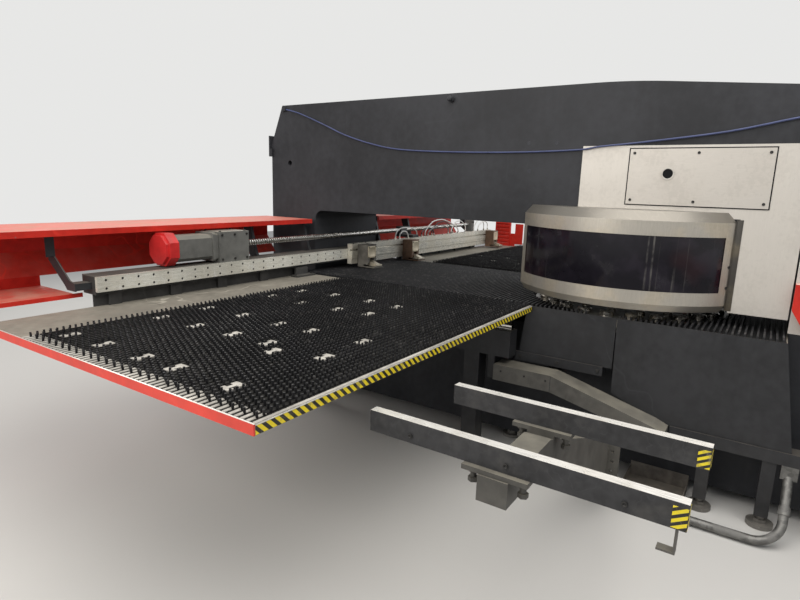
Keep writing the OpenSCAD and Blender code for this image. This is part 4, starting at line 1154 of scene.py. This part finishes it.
def tube(name: str, path: Sequence[Vector], radius: float) -> Piece:
    """A round cord along a path.

    Args:
        name: Its name.
        path: The points that it goes through.
        radius: Its radius.

    Returns:
        The cord.
    """
    curve = bpy.data.curves.new(name, "CURVE")
    curve.dimensions = "3D"
    curve.bevel_depth = radius
    curve.bevel_resolution = 3
    curve.use_fill_caps = True
    line = curve.splines.new("POLY")
    line.points.add(len(path) - 1)
    for held, spot in zip(line.points, path):
        held.co = (*spot, 1.0)
    made = bpy.data.objects.new(name, curve)
    bpy.context.scene.collection.objects.link(made)
    return Piece(name, made)


@dataclass
class Assembly:
    """A sub-assembly of the press. Its solids are listed as a finish and the CAD nodes that it goes on."""

    palette: Palette
    solids: Solids = ()

    def build(self) -> None:
        """Dresses the solids, then adds the finer pieces."""
        for finish, *names in self.solids:
            for name in names:
                self.palette.dress_node(name, finish)
        self.detail()

    def detail(self) -> None:
        """Adds the finer pieces: none, where a sub-assembly has no others than its solids."""

    def add(self, piece: Piece, body: str, finish: str, *replaced: str) -> None:
        """Dresses a new piece, lets it ride and reports it.

        Args:
            piece: The new piece.
            body: The body that it rides on.
            finish: The name of its finish.
            replaced: The CAD nodes that it stands for.
        """
        held = piece.held
        self.palette.dress(held, finish)
        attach(held, body)
        if replaced:
            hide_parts(*replaced)
        faces = len(getattr(held.data, "polygons", ()))
        LOG.info("%s: %s, %d faces", type(self).__name__, held.name, faces)

    def screws(self, head: Piece, name: str, spots: Sequence[Spot], body: str, ending: str = "") -> None:
        """Adds dark screws: copies of one head on the spots."""
        self.add(head.placed(name, spots, ending), body, "screw_black")

    def string(
        self, name: str, start: Point, knots: Sequence[Vector], radius: float, steps: int, *role: str
    ) -> None:
        """Strings a cord.

        Args:
            name: Its name.
            start: Where it comes out. It is not used.
            knots: The points that it goes through.
            radius: Its radius.
            steps: How many steps each stretch gets.
            role: Its body, its finish and the CAD node that it stands for, if there is one.
        """
        path = smooth_path(knots, steps)
        cord = tube(name, path, radius)
        self.add(cord, *role)


# The press


@dataclass
class SignalCable(Assembly):
    """The thin cable that is strung along the head's left face between two glands."""

    radius: float = 0.005
    steps: int = 4
    route: Sequence[Point] = (
        (-0.408, 2.000, 2.172),
        (-0.408, 1.930, 2.156),
        (-0.412, 1.830, 2.128),
        (-0.409, 1.620, 2.050),
        (-0.408, 1.410, 1.968),
        (-0.408, 1.170, 1.902),
        (-0.408, 0.920, 1.860),
        (-0.408, 0.490, 1.840),
        (-0.408, 0.050, 1.836),
        (-0.412, -0.300, 1.846),
        (-0.418, -0.420, 1.862),
        (-0.414, -0.640, 1.882),
        (-0.412, -1.030, 1.926),
        (-0.410, -1.315, 1.982),
        (-0.409, -1.500, 2.006),
        (-0.409, -1.640, 2.010),
    )

    def detail(self) -> None:
        """Strings the cable."""
        knots = [Vector(spot) for spot in self.route]
        role = ("base", "cable_blue", "signal_cable")
        self.string("signal_cable_sheath", self.route[0], knots, self.radius, self.steps, *role)


@dataclass
class BridgeFrame(Assembly):
    """The welded bridge frame with its head panels, access plates and plugs."""

    solids: Solids = (
        ("charcoal_paint", "bridge_frame", "rear_column", "frame_fittings"),
        ("panel_silver", "head_panels"),
        ("plate_silver", "access_plates"),
        ("louvre_red", "louvre_guards"),
    )
    access_y: Flat = (-1.248, -0.584)
    access_z: Flat = (1.557, 1.848)
    seal: float = 0.0055
    hole: Flat = (-0.781, 1.720)
    face: float = 0.409
    frame_face: float = -0.394
    plugs: Sequence[Flat] = ((0.000, 1.889), (-0.170, 1.887), (-0.012, 1.727), (-0.184, 1.728))

    def detail(self) -> None:
        """Adds the access plates' seals and holes, and the frame's plugs."""
        for side in Side:
            self.gasket(side)
            self.hole_ring(side)
        plugs = [self.plug(f"plug_{i}", y, z) for i, (y, z) in enumerate(self.plugs)]
        self.add(Piece.join("frame_plugs", plugs), "base", "plug_slate")

    def gasket(self, side: Side) -> None:
        """Lays the dark seal that shows around an access plate.

        Args:
            side: The machine's side.
        """
        low, high = zip(self.access_y, self.access_z)
        near = (side.value * (self.face - 0.0005), low[0] - self.seal, low[1] - self.seal)
        far = (side.value * (self.face - 0.0035), high[0] + self.seal, high[1] + self.seal)
        seal = Piece.block(f"access_seal{side.ending}", near, far).inset(side.out, self.seal * 0.6, 0.0008)
        self.add(seal, "base", "plug_black")

    def hole_ring(self, side: Side) -> None:
        """Sets the silver rim and the dark plug into the plate's hole.

        Args:
            side: The machine's side.
        """
        x, sides = side.value * self.face, 40
        rim_face, plug_face = x + side.value * 0.0030, x + side.value * 0.0020
        rim = Piece.rod(f"hole_rim{side.ending}", (x, *self.hole), (rim_face, *self.hole), 0.0325, sides)
        self.add(rim.inset(side.out, 0.0075, 0.0026).rounded(0.0007), "base", "rim_silver")
        plug = Piece.rod(f"hole_plug{side.ending}", (x, *self.hole), (plug_face, *self.hole), 0.0253, sides)
        self.add(plug.inset(side.out, 0.004, 0.001), "base", "plug_black")

    def plug(self, name: str, y: float, z: float) -> Piece:
        """A snap-in plug, nearly flush with the frame's face."""
        plug = Piece.rod(name, (self.frame_face, y, z), (self.frame_face - 0.0072, y, z), 0.0119)
        return plug.inset(Side.LEFT.out, 0.0028, 0.0009)


@dataclass
class SideFrames(Assembly):
    """The side frames, skirts and outriggers."""

    solids: Solids = (
        ("side_black", "side_frame_left", "side_frame_right", "side_panels"),
        ("low_beam", "outriggers"),
    )
    bars: Flat = (0.603, 0.642)
    bar_bolts: Sequence[float] = (-0.575, -0.345, -0.118)
    beams: Flat = (0.735, 0.565)
    beam_screws: Sequence[float] = (-0.060, -0.205, -0.330)
    weld: Flat = (0.7348, -0.357)
    weld_ends: Flat = (0.507, 0.5985)

    def detail(self) -> None:
        """Bolts on the flat bars, and screws and welds the outriggers."""
        for side in Side:
            spots = [((side.value * self.bars[0], y, self.bars[1]), side.out) for y in self.bar_bolts]
            self.screws(Screw(0.0085, 0.007).hexagon(), "bar_bolts", spots, "base", side.ending)
            spots = [((side.value * self.beams[0], y, self.beams[1]), side.out) for y in self.beam_screws]
            self.screws(Screw(0.006, 0.003).button(), "outrigger_screws", spots, "base", side.ending)
            x, y = side.value * self.weld[0], self.weld[1]
            start, end = ((x, y, z) for z in self.weld_ends)
            self.add(Piece.rod(f"outrigger_weld{side.ending}", start, end, 0.0016, 8), "base", "satin_black")


@dataclass
class HeadCovers(Assembly):
    """The stainless turret covers with their windows, screws, and end strips dark with painted shade."""

    solids: Solids = (
        ("cover_stainless", "turret_cover_left", "turret_cover_right"),
        ("dark_glazing", "cover_windows"),
    )
    centre_y: float = -0.570
    radius: float = 0.690
    chord: float = 0.5579
    plate_face: float = 0.409
    panel_face: float = 0.4062
    strip_ends: Flat = (1.034, 1.498)
    strip_bends: Sequence[Flat] = (
        (0.0, 0.004), (0.0, -0.027), (0.0030, -0.027), (0.0042, -0.004), (0.0105, 0.003),
    )

    def detail(self) -> None:
        """Adds the screws and strips."""
        spots = [spot for side in Side for spot in self.screw_spots(side)]
        heads = Screw(0.0075, 0.0035).button().placed("black_screws", spots)
        self.add(heads, "base", "screw_black", "cover_screws")
        for side in Side:
            end = self.centre_y - self.chord
            outline = [(side.value * (self.panel_face + out), end + y) for out, y in self.strip_bends]
            strip = Piece.profile(f"cover_strip{side.ending}", outline, Along.Z, self.strip_ends)
            # The end strip's finish is painted shade, for the cover's end face in shadow.
            self.add(strip.rounded(0.0006), "base", "strip_dark")

    def screw_spots(self, side: Side) -> List[Spot]:
        """Where the screws of an access plate and of a cover's front end stand.

        Args:
            side: The machine's side.

        Returns:
            The spots.
        """
        x = side.value * self.plate_face
        plate = [((x, y, z), side.out) for y in (-1.226, -0.916, -0.606) for z in (1.579, 1.826)]
        angle = math.asin(self.chord / self.radius) - math.radians(1.2)
        look = (side.value * math.cos(angle), -math.sin(angle), 0.0)
        reach = self.radius + 0.0001
        cover = [((look[0] * reach, self.centre_y + look[1] * reach, z), look) for z in (1.152, 1.259)]
        return plate + cover


@dataclass
class Turrets(Assembly):
    """The two turrets with their tools, the ram and the index pins."""

    solids: Solids = (
        ("turret_iron", "upper_turret", "upper_turret_shaft", "lower_turret", "lower_turret_shaft"),
        ("tool_steel", "punches", "dies", "index_pins"),
        ("satin_black", "ram_cylinder"),
        ("rod_steel", "striker"),
        ("motor_grey", "index_housings"),
    )


@dataclass
class BrushTables(Assembly):
    """The centre table and the two wing tables with their brushes, mats, tape and trims."""

    solids: Solids = (
        ("table_tan", "centre_table", "wing_table_left", "wing_table_right"),
        ("edge_red", "edge_strips"),
        ("gauge_grey", "gauge_block"),
        ("louvre_red", "end_guard"),
    )
    top: float = 0.950
    pitch: float = 0.0262
    comb_rows: int = 117
    comb_first: float = -1.394
    comb_end: float = 0.586
    comb_foot: float = 0.940
    comb_rise: float = 0.0218
    shortest: float = 0.012
    turret_y: float = -0.570
    turret_gap: float = 0.5785
    inner: float = 0.6015
    outer: float = 2.7005
    margin: float = 2.634
    mat_ends: Flat = (-0.1690, 1.2390)
    first_dark_rib: Flat = (-0.1423, -0.1288)
    first_pale_rib: Flat = (-0.1685, -0.1550)
    dark_ribs: int = 53
    rib_height: float = 0.0042
    rib_round: float = 0.0016
    tufts_low: Flat = (0.622, -0.146)
    tufts_high: Flat = (2.682, 1.240)
    tuft_tip: float = 0.972
    clearing: Flat = (0.082, 0.056)
    front: float = -0.1716
    tape_ends: Flat = (0.6010, 2.7030)
    tape_low: Flat = (-0.1708, 0.9190)
    tape_high: Flat = (-0.1699, 0.9480)
    gauge_bolts: Sequence[Point] = ((-0.791, 1.536, 0.962), (-0.631, 1.536, 0.962))
    bare: Sequence[Flat] = (
        (-2.56, 1.12), (-2.55, 0.88), (-2.55, 0.61), (-2.55, 0.41), (-2.55, 0.11), (-2.13, 1.12),
        (-2.13, 0.86), (-2.12, 0.62), (-2.12, 0.40), (-2.19, 0.30), (-2.12, 0.09), (-1.85, 0.87),
        (-1.86, 0.60), (-1.86, 0.40), (-1.85, 0.11), (-1.86, 1.13), (-1.41, 1.13), (-1.18, 1.11),
        (-1.44, 0.86), (-1.14, 0.88), (-1.43, 0.61), (-1.14, 0.61), (-1.41, 0.41), (-1.17, 0.40),
    )

    def detail(self) -> None:
        """Adds the brushes, mats, tape and trims, and bolts down the gauge block."""
        self.combs()
        for side in Side:
            self.mat(side)
            self.tufts(side)
            self.tape(side)
        spots = [(spot, UP) for spot in self.gauge_bolts]
        self.screws(Screw(0.008, 0.008).cap(), "gauge_bolts", spots, "y_table")

    def combs(self) -> None:
        """Stands the centre table's bristle strips across the table, clear of the turret."""
        half, foot = self.pitch / 2, self.comb_foot
        rise = foot + self.comb_rise
        flank = [(half, foot), (half, foot + 0.0016), (0.0062, foot + 0.0020), (0.0046, rise)]
        outline = [(-half, foot), *flank, *((-y, z) for y, z in flank[:0:-1])]
        strip = Piece.profile("strip", outline, Along.X, (-0.5, 0.5))
        places: List[Matrix] = []
        for row in range(self.comb_rows):
            y = self.comb_first + row * self.pitch
            reach = self.turret_gap**2 - (y - self.turret_y) ** 2
            cuts = [-math.sqrt(reach), math.sqrt(reach)] if reach > 0 else []
            ends = [-self.comb_end, *cuts, self.comb_end]
            for low, high in zip(ends[::2], ends[1::2]):
                if high - low > self.shortest:
                    size = Matrix.Diagonal((high - low, 1.0, 1.0, 1.0))
                    places.append(Matrix.Translation(((low + high) / 2, y, 0.0)) @ size)
        self.add(strip.spread("centre_combs", places), "base", "bristle_low", "centre_brush")

    def ribs(self, name: str, x: Flat, y: Flat, count: int) -> Piece:
        """Ribs of the mat, from where the first one starts and ends."""
        rib = Piece.block(name, (x[0], y[0], self.top), (x[1], y[1], self.top + self.rib_height))
        return rib.rounded(self.rib_round).row(count, (0.0, self.pitch, 0.0))

    def mat(self, side: Side) -> None:
        """Lays the ridged mat that the tufts stand in: dark within as painted shade among the tufts, pale at
        its open edges and patches.

        Args:
            side: The machine's side.
        """
        near, far = self.mat_ends
        low, high = (self.inner, near, self.top - 0.0005), (self.outer, far, self.top + 0.0012)
        sheet = Piece.block("sheet", low, high)
        rows = self.ribs("rows", (self.inner, self.margin), self.first_dark_rib, self.dark_ribs)
        dark = Piece.join(f"brush_mat{side.ending}", [rows, sheet])
        ends = self.ribs("ends", (self.margin, self.outer), self.first_pale_rib, self.dark_ribs + 1)
        front = self.ribs("front", (self.inner, self.margin), self.first_pale_rib, 1)
        plates = [self.patch(f"patch_{i}", abs(x), y) for i, (x, y) in enumerate(self.bare)]
        pale = Piece.join(f"brush_margins{side.ending}", [ends, front, *plates])
        # The mat among the tufts takes painted shade; its margins and patches stay pale.
        self.add(dark.moved_to(side), "y_table", "mat_dark")
        self.add(pale.moved_to(side), "y_table", "mat_pale")

    def patch(self, name: str, x: float, y: float) -> Piece:
        """The H-shaped fixing plate that shows where tufts are left out.

        Args:
            name: Its name.
            x: Its middle on X.
            y: Its middle on Y.

        Returns:
            The plate.
        """
        wide, arm, end, waist = 0.038, 0.013, 0.023, 0.008
        half = [(-wide, -end), (-arm, -end), (-arm, -waist), (arm, -waist), (arm, -end), (wide, -end)]
        outline = [(x + dx, y + dy) for dx, dy in [*half, *((-dx, -dy) for dx, dy in half)]]
        return Piece.profile(name, outline, Along.Z, (self.top + 0.0005, self.top + 0.0062))

    def tufts(self, side: Side) -> None:
        """Stands the tufts, less those over the table's bare patches.

        Args:
            side: The machine's side.
        """
        bare = [(abs(x), y) for x, y in self.bare]
        low, high, foot = self.tufts_low, self.tufts_high, self.top + 0.0005
        brush = TuftField(low, high, foot, self.tuft_tip, bare, self.clearing, seed=11 + side.value)
        tufts = brush.build(f"brush_tufts{side.ending}").moved_to(side)
        self.add(tufts, "y_table", "bristle_black", f"wing_brush{side.ending}")

    def tape(self, side: Side) -> None:
        """Sticks the striped tape along the front edge, under its bright worn trim.

        Args:
            side: The machine's side.
        """
        ends = tuple(sorted(side.value * end for end in self.tape_ends))
        tape = Piece.block(f"wing_tape{side.ending}", (ends[0], *self.tape_low), (ends[1], *self.tape_high))
        self.add(tape.rounded(0.0003, 1), "y_table", "tape_front")
        face, inner, back, low, under, high = self.front, -0.1701, -0.1600, 0.9478, 0.9500, 0.9512
        outline = [(face, low), (face, high), (back, high), (back, under), (inner, under), (inner, low)]
        front = Piece.profile("front", outline, Along.X, ends)
        edge = Piece.block("edge", (side.value * 2.7034, face, 0.9528), (side.value * 2.7099, 1.5990, 0.9541))
        trim = Piece.join(f"wing_trim{side.ending}", [front, edge.rounded(0.0004)])
        self.add(trim, "y_table", "trim_bright")


@dataclass
class SupportArms(Assembly):
    """The arms under the wing tables and the beams that carry them."""

    solids: Solids = (("arm_grey", "support_arms"), ("low_beam", "cross_beams", "arm_seats"))
    arms: Sequence[Flat] = ((2.205, -1.212), (1.800, -1.226))
    half: float = 0.019
    low: float = 0.777
    high: float = 0.838
    bolts: Sequence[float] = (-1.06, -0.72, -0.38)

    def detail(self) -> None:
        """Marks the arms' front ends and bolts the outer arms."""
        for side in Side:
            for place, (x, front) in zip(("outer", "inner"), self.arms):
                self.marks(side, place, x, front)
            spots = [((side.value * 2.224, y, 0.800), side.out) for y in self.bolts]
            self.screws(Screw(0.008, 0.006).cap(), "arm_bolts", spots, "base", side.ending)

    def marks(self, side: Side, place: str, x: float, front: float) -> None:
        """Sticks striped tape on the outer side and the front end of one arm.

        Args:
            side: The machine's side.
            place: The arm's place, for the names.
            x: How far out the arm is.
            front: Where its front end is.
        """
        outer = side.value * (x + self.half)
        flank = (outer - side.value * 0.0001, front + 0.001), (outer + side.value * 0.0008, front + 0.038)
        inset = self.half - 0.002
        nose = (side.value * (x - inset), front - 0.0008), (side.value * (x + inset), front + 0.0001)
        for face, (near, far), finish in (("side", flank, "tape_side"), ("end", nose, "tape_end")):
            name = f"arm_tape_{face}_{place}{side.ending}"
            tape = Piece.block(name, (*near, self.low), (*far, self.high))
            self.add(tape.rounded(0.0003, 1), "base", finish)


@dataclass
class XDrive(Assembly):
    """The X beam with its guide bar, motor, gearbox and ball screw."""

    solids: Solids = (
        ("beam_grey", "x_beam"),
        ("guide_steel", "x_guide_bar"),
        ("motor_grey", "x_motor", "x_gearbox"),
        ("cap_red", "x_motor_cap"),
    )
    axis: Flat = (1.667, 1.210)
    screw: Flat = (-1.251, 2.190)
    core: float = 0.0166
    first_rib: Flat = (-1.145, -1.134)
    crest: float = 0.0199
    collar: Flat = (-1.1855, -1.152)
    collar_radius: float = 0.032
    ribs: int = 166
    rib_pitch: float = 0.020
    bar_front: float = 1.5625
    bar_pitch: float = 0.090
    bar_columns: int = 49

    def detail(self) -> None:
        """Adds the threaded screw and the bolts."""
        # The screw's core between the ribs takes painted shade.
        core = self.turned("x_screw_core", self.screw, self.core).rounded(0.001)
        self.add(core, "x_ball_screw", "thread_root", "x_screw")
        rib = self.turned("x_screw_thread", self.first_rib, self.crest, 20).rounded(0.0030)
        self.add(rib.row(self.ribs, (self.rib_pitch, 0.0, 0.0)), "x_ball_screw", "screw_bead", "x_screw")
        collar = self.turned("x_screw_collar", self.collar, self.collar_radius, 36)
        self.add(collar.inset(Side.RIGHT.out, 0.006, 0.003).rounded(0.0012), "x_ball_screw", "bronze")
        self.bolts()

    def turned(self, name: str, ends: Flat, radius: float, sides: int = 24) -> Piece:
        """A round piece on the screw's axis, between two places on X."""
        return Piece.rod(name, (ends[0], *self.axis), (ends[1], *self.axis), radius, sides)

    def bolts(self) -> None:
        """Bolts the gearbox, the motor's flange and the far bearing, and screws on the guide bar."""
        spots = [((x, 1.572, z), FORWARD) for x in (-1.400, -1.302, -1.205) for z in (1.128, 1.281)]
        spots += [((x, y, 1.300), UP) for x in (-1.400, -1.205) for y in (1.592, 1.733)]
        spots += [((x, 1.610, z), FORWARD) for x in (2.135, 2.165) for z in (1.135, 1.240)]
        self.screws(Screw(0.0075, 0.0065).cap(), "drive_bolts", spots, "y_table")
        first = -(self.bar_columns // 2) * self.bar_pitch
        across = [first + i * self.bar_pitch for i in range(self.bar_columns)]
        spots = [((x, self.bar_front, z), FORWARD) for x in across for z in (1.046, 1.090)]
        self.screws(Screw(0.0069, 0.009).cap(), "bar_screws", spots, "y_table")


@dataclass
class YDrive(Assembly):
    """The Y rails, saddles, motor and ball screw."""

    solids: Solids = (
        ("rail_steel", "y_rails"),
        ("motor_grey", "y_drive"),
        ("y_thread", "y_screw"),
        ("saddle_iron", "saddles"),
    )


@dataclass
class Carriage(Assembly):
    """The sheet carriage on the guide bar, with the loops of its air hoses."""

    solids: Solids = (("carriage_steel", "carriage_beam"), ("saddle_iron", "carriage_nut"))
    top: float = 1.150
    screw_y: float = 1.512
    screw_pitch: float = 0.16
    clear_of: Flat = (0.69, 0.83)
    hose_radius: float = 0.0055
    steps: int = 8
    loops: Sequence[Tuple[str, Sequence[Point]]] = (
        ("hose_white", (
            (0.455, 1.524, 1.162), (0.462, 1.524, 1.200), (0.516, 1.526, 1.237), (0.620, 1.528, 1.246),
            (0.733, 1.530, 1.237), (0.812, 1.532, 1.205), (0.826, 1.532, 1.162),
        )),
        ("hose_white", (
            (0.960, 1.524, 1.162), (0.975, 1.524, 1.205), (1.094, 1.526, 1.278), (1.225, 1.528, 1.298),
            (1.353, 1.530, 1.290), (1.560, 1.532, 1.232), (1.640, 1.532, 1.190), (1.652, 1.532, 1.162),
        )),
        ("hose_white", (
            (2.110, 1.524, 1.162), (2.130, 1.524, 1.205), (2.225, 1.526, 1.242), (2.300, 1.527, 1.248),
            (2.362, 1.528, 1.215), (2.372, 1.528, 1.162),
        )),
        ("hose_grey", (
            (1.010, 1.522, 1.162), (1.030, 1.518, 1.196), (1.150, 1.516, 1.232), (1.290, 1.517, 1.240),
            (1.400, 1.518, 1.204), (1.412, 1.519, 1.162),
        )),
        ("hose_white", (
            (1.480, 1.524, 1.162), (1.500, 1.526, 1.200), (1.580, 1.528, 1.262), (1.700, 1.530, 1.270),
            (1.800, 1.530, 1.216), (1.815, 1.530, 1.162),
        )),
        ("hose_black", (
            (0.895, 1.522, 1.162), (0.905, 1.524, 1.190), (0.985, 1.527, 1.226), (1.065, 1.528, 1.222),
            (1.125, 1.528, 1.190), (1.135, 1.528, 1.162),
        )),
        ("hose_white", (
            (0.530, 1.532, 1.162), (0.540, 1.532, 1.190), (0.580, 1.533, 1.212), (0.632, 1.533, 1.210),
            (0.666, 1.533, 1.188), (0.675, 1.533, 1.162),
        )),
        ("hose_black", (
            (1.100, 1.532, 1.162), (1.115, 1.532, 1.205), (1.210, 1.533, 1.262), (1.340, 1.533, 1.275),
            (1.450, 1.533, 1.240), (1.520, 1.533, 1.195), (1.530, 1.533, 1.162),
        )),
        ("hose_white", (
            (2.020, 1.532, 1.162), (2.035, 1.532, 1.200), (2.110, 1.533, 1.262), (2.200, 1.533, 1.270),
            (2.270, 1.533, 1.225), (2.282, 1.533, 1.162),
        )),
    )

    def detail(self) -> None:
        """Screws the beam's top, and strings the hoses between their fittings."""
        across = [-self.screw_pitch + self.screw_pitch * i for i in range(16)]
        low, high = self.clear_of
        spots = [((x, self.screw_y, self.top), UP) for x in across if not low < x < high]
        self.screws(Screw(0.0055, 0.005).cap(), "carriage_screws", spots, "x_carriage")
        nut = Screw(0.0085, 0.012).hexagon()
        collar = Piece.rod("collar", (0, 0, 0.010), (0, 0, 0.020), 0.0066, 18).rounded(0.0012)
        ends = [end for finish, loop in self.loops for end in (loop[0], loop[-1])]
        spots = [((x, y, self.top), UP) for x, y, height in ends]
        fittings = Piece.join("fitting", [nut, collar]).placed("hose_fittings", spots)
        self.add(fittings, "x_carriage", "screw_bright")
        for i, (finish, loop) in enumerate(self.loops):
            knots = [Vector(spot) for spot in loop]
            name = f"carriage_hose_{i + 1}"
            self.string(name, tuple(knots[0]), knots, self.hose_radius, self.steps, "x_carriage", finish)


@dataclass
class Clamps(Assembly):
    """The three work clamps with their front plates."""

    solids: Solids = (
        ("clamp_grey", "clamp_body_1"),
        ("clamp_brown", "clamp_body_2", "clamp_body_3"),
        ("jaw_steel", "clamp_jaw_1", "clamp_jaw_2", "clamp_jaw_3"),
    )
    places: Sequence[float] = (-0.060, 0.600, 2.330)
    half: float = 0.053
    bolt: float = 0.046
    front: float = 1.400
    proud: float = 0.0035

    def detail(self) -> None:
        """Adds the front plates with their bolts."""
        face = self.front - self.proud
        for i, x in enumerate(self.places):
            number = i + 1
            low, high = (x - self.half, face, 1.040), (x + self.half, self.front + 0.0005, 1.134)
            plate = Piece.block(f"clamp_plate_{number}", low, high).inset(FORWARD, 0.012, 0.0012)
            self.add(plate.rounded(0.0007), f"clamp_{number}", "plate_beige")
            spots = [((x + dx, face, z), FORWARD) for dx in (-self.bolt, self.bolt) for z in (1.047, 1.127)]
            self.screws(Screw(0.0045, 0.003).cap(), "clamp_bolts", spots, f"clamp_{number}", f"_{number}")


@dataclass
class Hoods(Assembly):
    """The hoods over the drive and the bent arms that carry them."""

    solids: Solids = (("guard_red", "hoods"), ("satin_black", "hood_arms"))


@dataclass
class FloorFittings(Assembly):
    """The feet, the chip trays and the supply conduit with its coupling."""

    solids: Solids = (
        ("foot_steel", "levelling_feet"),
        ("tray_paint", "chip_trays"),
        ("zinc_spangle", "supply_conduit"),
    )
    pipe_x: float = -0.775
    pipe_z: float = 0.0265
    sleeve: Flat = (-0.925, -0.865)
    nuts: Sequence[float] = (-0.932, -0.858)
    nut_half: float = 0.007

    def detail(self) -> None:
        """Puts the coupling on the conduit."""
        pieces = [self.ring("sleeve", self.sleeve, 0.0248, 24).rounded(0.002)]
        for i, y in enumerate(self.nuts):
            ends = (y - self.nut_half, y + self.nut_half)
            pieces.append(self.ring(f"nut_{i}", ends, 0.0262, 8).rounded(0.0012))
        self.add(Piece.join("conduit_coupling", pieces), "base", "zinc_spangle")

    def ring(self, name: str, ends: Flat, radius: float, sides: int) -> Piece:
        """A round piece on the conduit, between two places on Y."""
        start, end = ((self.pipe_x, y, self.pipe_z) for y in ends)
        return Piece.rod(name, start, end, radius, sides)


# Camera, light and floor


@dataclass(frozen=True)
class Lamp:
    """A soft area lamp: where it hangs, what it shines at, its width and height, its watts and its colour."""

    name: str
    place: Point
    target: Point
    size: Flat
    power: float
    tone: Colour

    def hang(self) -> None:
        """Hangs the lamp."""
        data = bpy.data.lights.new(self.name, "AREA")
        data.shape = "RECTANGLE"
        data.size, data.size_y = self.size
        data.energy = self.power
        data.color = self.tone
        holder = bpy.data.objects.new(self.name, data)
        holder.location = self.place
        aim = Vector(self.target) - Vector(self.place)
        holder.rotation_euler = aim.to_track_quat("-Z", "Y").to_euler()
        bpy.context.scene.collection.objects.link(holder)


@dataclass
class Studio:
    """The camera at the photograph's angle, soft lamps, and a pale floor."""

    eye: Point = (-3.700, -1.300, 1.610)
    right: Point = (0.5574, -0.8296, 0.0303)
    upwards: Point = (0.1476, 0.1350, 0.9797)
    focal_px: float = 561.0
    width_px: int = 800
    sensor: float = 36.0
    sight: float = 60.0
    sky: Colour = (0.93, 0.96, 1.0)
    sky_strength: float = 0.42
    backdrop: Colour = (0.80, 0.80, 0.79)
    floor_tone: Colour = (0.62, 0.61, 0.59)
    floor_size: float = 26.0
    floor_drop: float = 0.001
    lamps: Sequence[Lamp] = (
        Lamp("lamp_over", (-2.2, -1.2, 5.2), (0.0, 0.2, 1.0), (5.5, 4.5), 250.0, (1.0, 0.97, 0.92)),
        Lamp("lamp_left", (-6.5, 2.2, 3.4), (-0.6, 0.2, 1.1), (3.5, 2.5), 150.0, (1.0, 0.95, 0.88)),
        Lamp("lamp_right", (5.0, -4.5, 3.6), (0.4, 0.0, 1.1), (4.0, 2.5), 130.0, (0.93, 0.96, 1.0)),
        Lamp("lamp_rear", (1.5, 6.5, 4.0), (0.0, 0.6, 1.0), (4.5, 2.5), 110.0, (1.0, 0.96, 0.90)),
    )

    def camera(self) -> None:
        """Makes the camera."""
        data = bpy.data.cameras.new("camera")
        data.sensor_width = self.sensor
        data.lens = self.focal_px / self.width_px * self.sensor
        data.clip_end = self.sight
        holder = bpy.data.objects.new("camera", data)
        bpy.context.scene.collection.objects.link(holder)
        across = Vector(self.right).normalized()
        up = (Vector(self.upwards) - across * across.dot(Vector(self.upwards))).normalized()
        turn = Matrix((across, up, across.cross(up))).transposed().to_4x4()
        holder.matrix_world = Matrix.Translation(Vector(self.eye)) @ turn
        bpy.context.scene.camera = holder

    def world(self) -> None:
        """Lights all sides evenly, and shows a pale backdrop to the camera and in reflections."""
        world = bpy.data.worlds.new("studio")
        world.use_nodes = True
        nodes, links = world.node_tree.nodes, world.node_tree.links
        nodes.clear()
        path = nodes.new("ShaderNodeLightPath")
        shown = path.outputs["Is Camera Ray"]
        for ray in ("Is Glossy Ray", "Is Transmission Ray"):
            most = nodes.new("ShaderNodeMath")
            most.operation = "MAXIMUM"
            links.new(shown, most.inputs[0])
            links.new(path.outputs[ray], most.inputs[1])
            shown = most.outputs[0]
        mixer = nodes.new("ShaderNodeMixShader")
        links.new(shown, mixer.inputs[0])
        for slot, (tone, strength) in enumerate(((self.sky, self.sky_strength), (self.backdrop, 1.0)), 1):
            glow = nodes.new("ShaderNodeBackground")
            glow.inputs["Color"].default_value = (*tone, 1.0)
            glow.inputs["Strength"].default_value = strength
            links.new(glow.outputs[0], mixer.inputs[slot])
        out = nodes.new("ShaderNodeOutputWorld")
        links.new(mixer.outputs[0], out.inputs["Surface"])
        bpy.context.scene.world = world

    def floor(self) -> None:
        """Lays the pale floor."""
        Piece.deselect()
        bpy.ops.mesh.primitive_plane_add(size=self.floor_size, location=(0.0, 0.0, -self.floor_drop))
        ground = Piece("floor").settle().held
        shade = Shade("floor_pale")
        share = shade.noise(1.5, 4.0).ease(0.3, 0.7) * 0.25
        tone = shade.mix(share, self.floor_tone, toned(self.floor_tone, 0.93))
        ground.data.materials.append(shade.surface(Base_Color=tone, Roughness=0.85))

    def light(self) -> None:
        """Hangs the lamps and lays the floor."""
        self.world()
        for lamp in self.lamps:
            lamp.hang()
        self.floor()


def main() -> None:
    """Dresses the whole press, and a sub-assembly at a time."""
    logging.basicConfig(level=logging.INFO, format="%(message)s")
    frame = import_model()
    studio = Studio()
    bpy.context.scene.view_settings.view_transform = "Standard"
    studio.camera()
    palette = Palette(frame["nodes"])
    parts = (
        SignalCable, BridgeFrame, SideFrames, HeadCovers, Turrets, BrushTables, SupportArms, XDrive, YDrive,
        Carriage, Clamps, Hoods, FloorFittings,
    )
    for part in parts:
        part(palette).build()
        LOG.info("%s: done", part.__name__)
    studio.light()


if __name__ == "__main__":
    main()
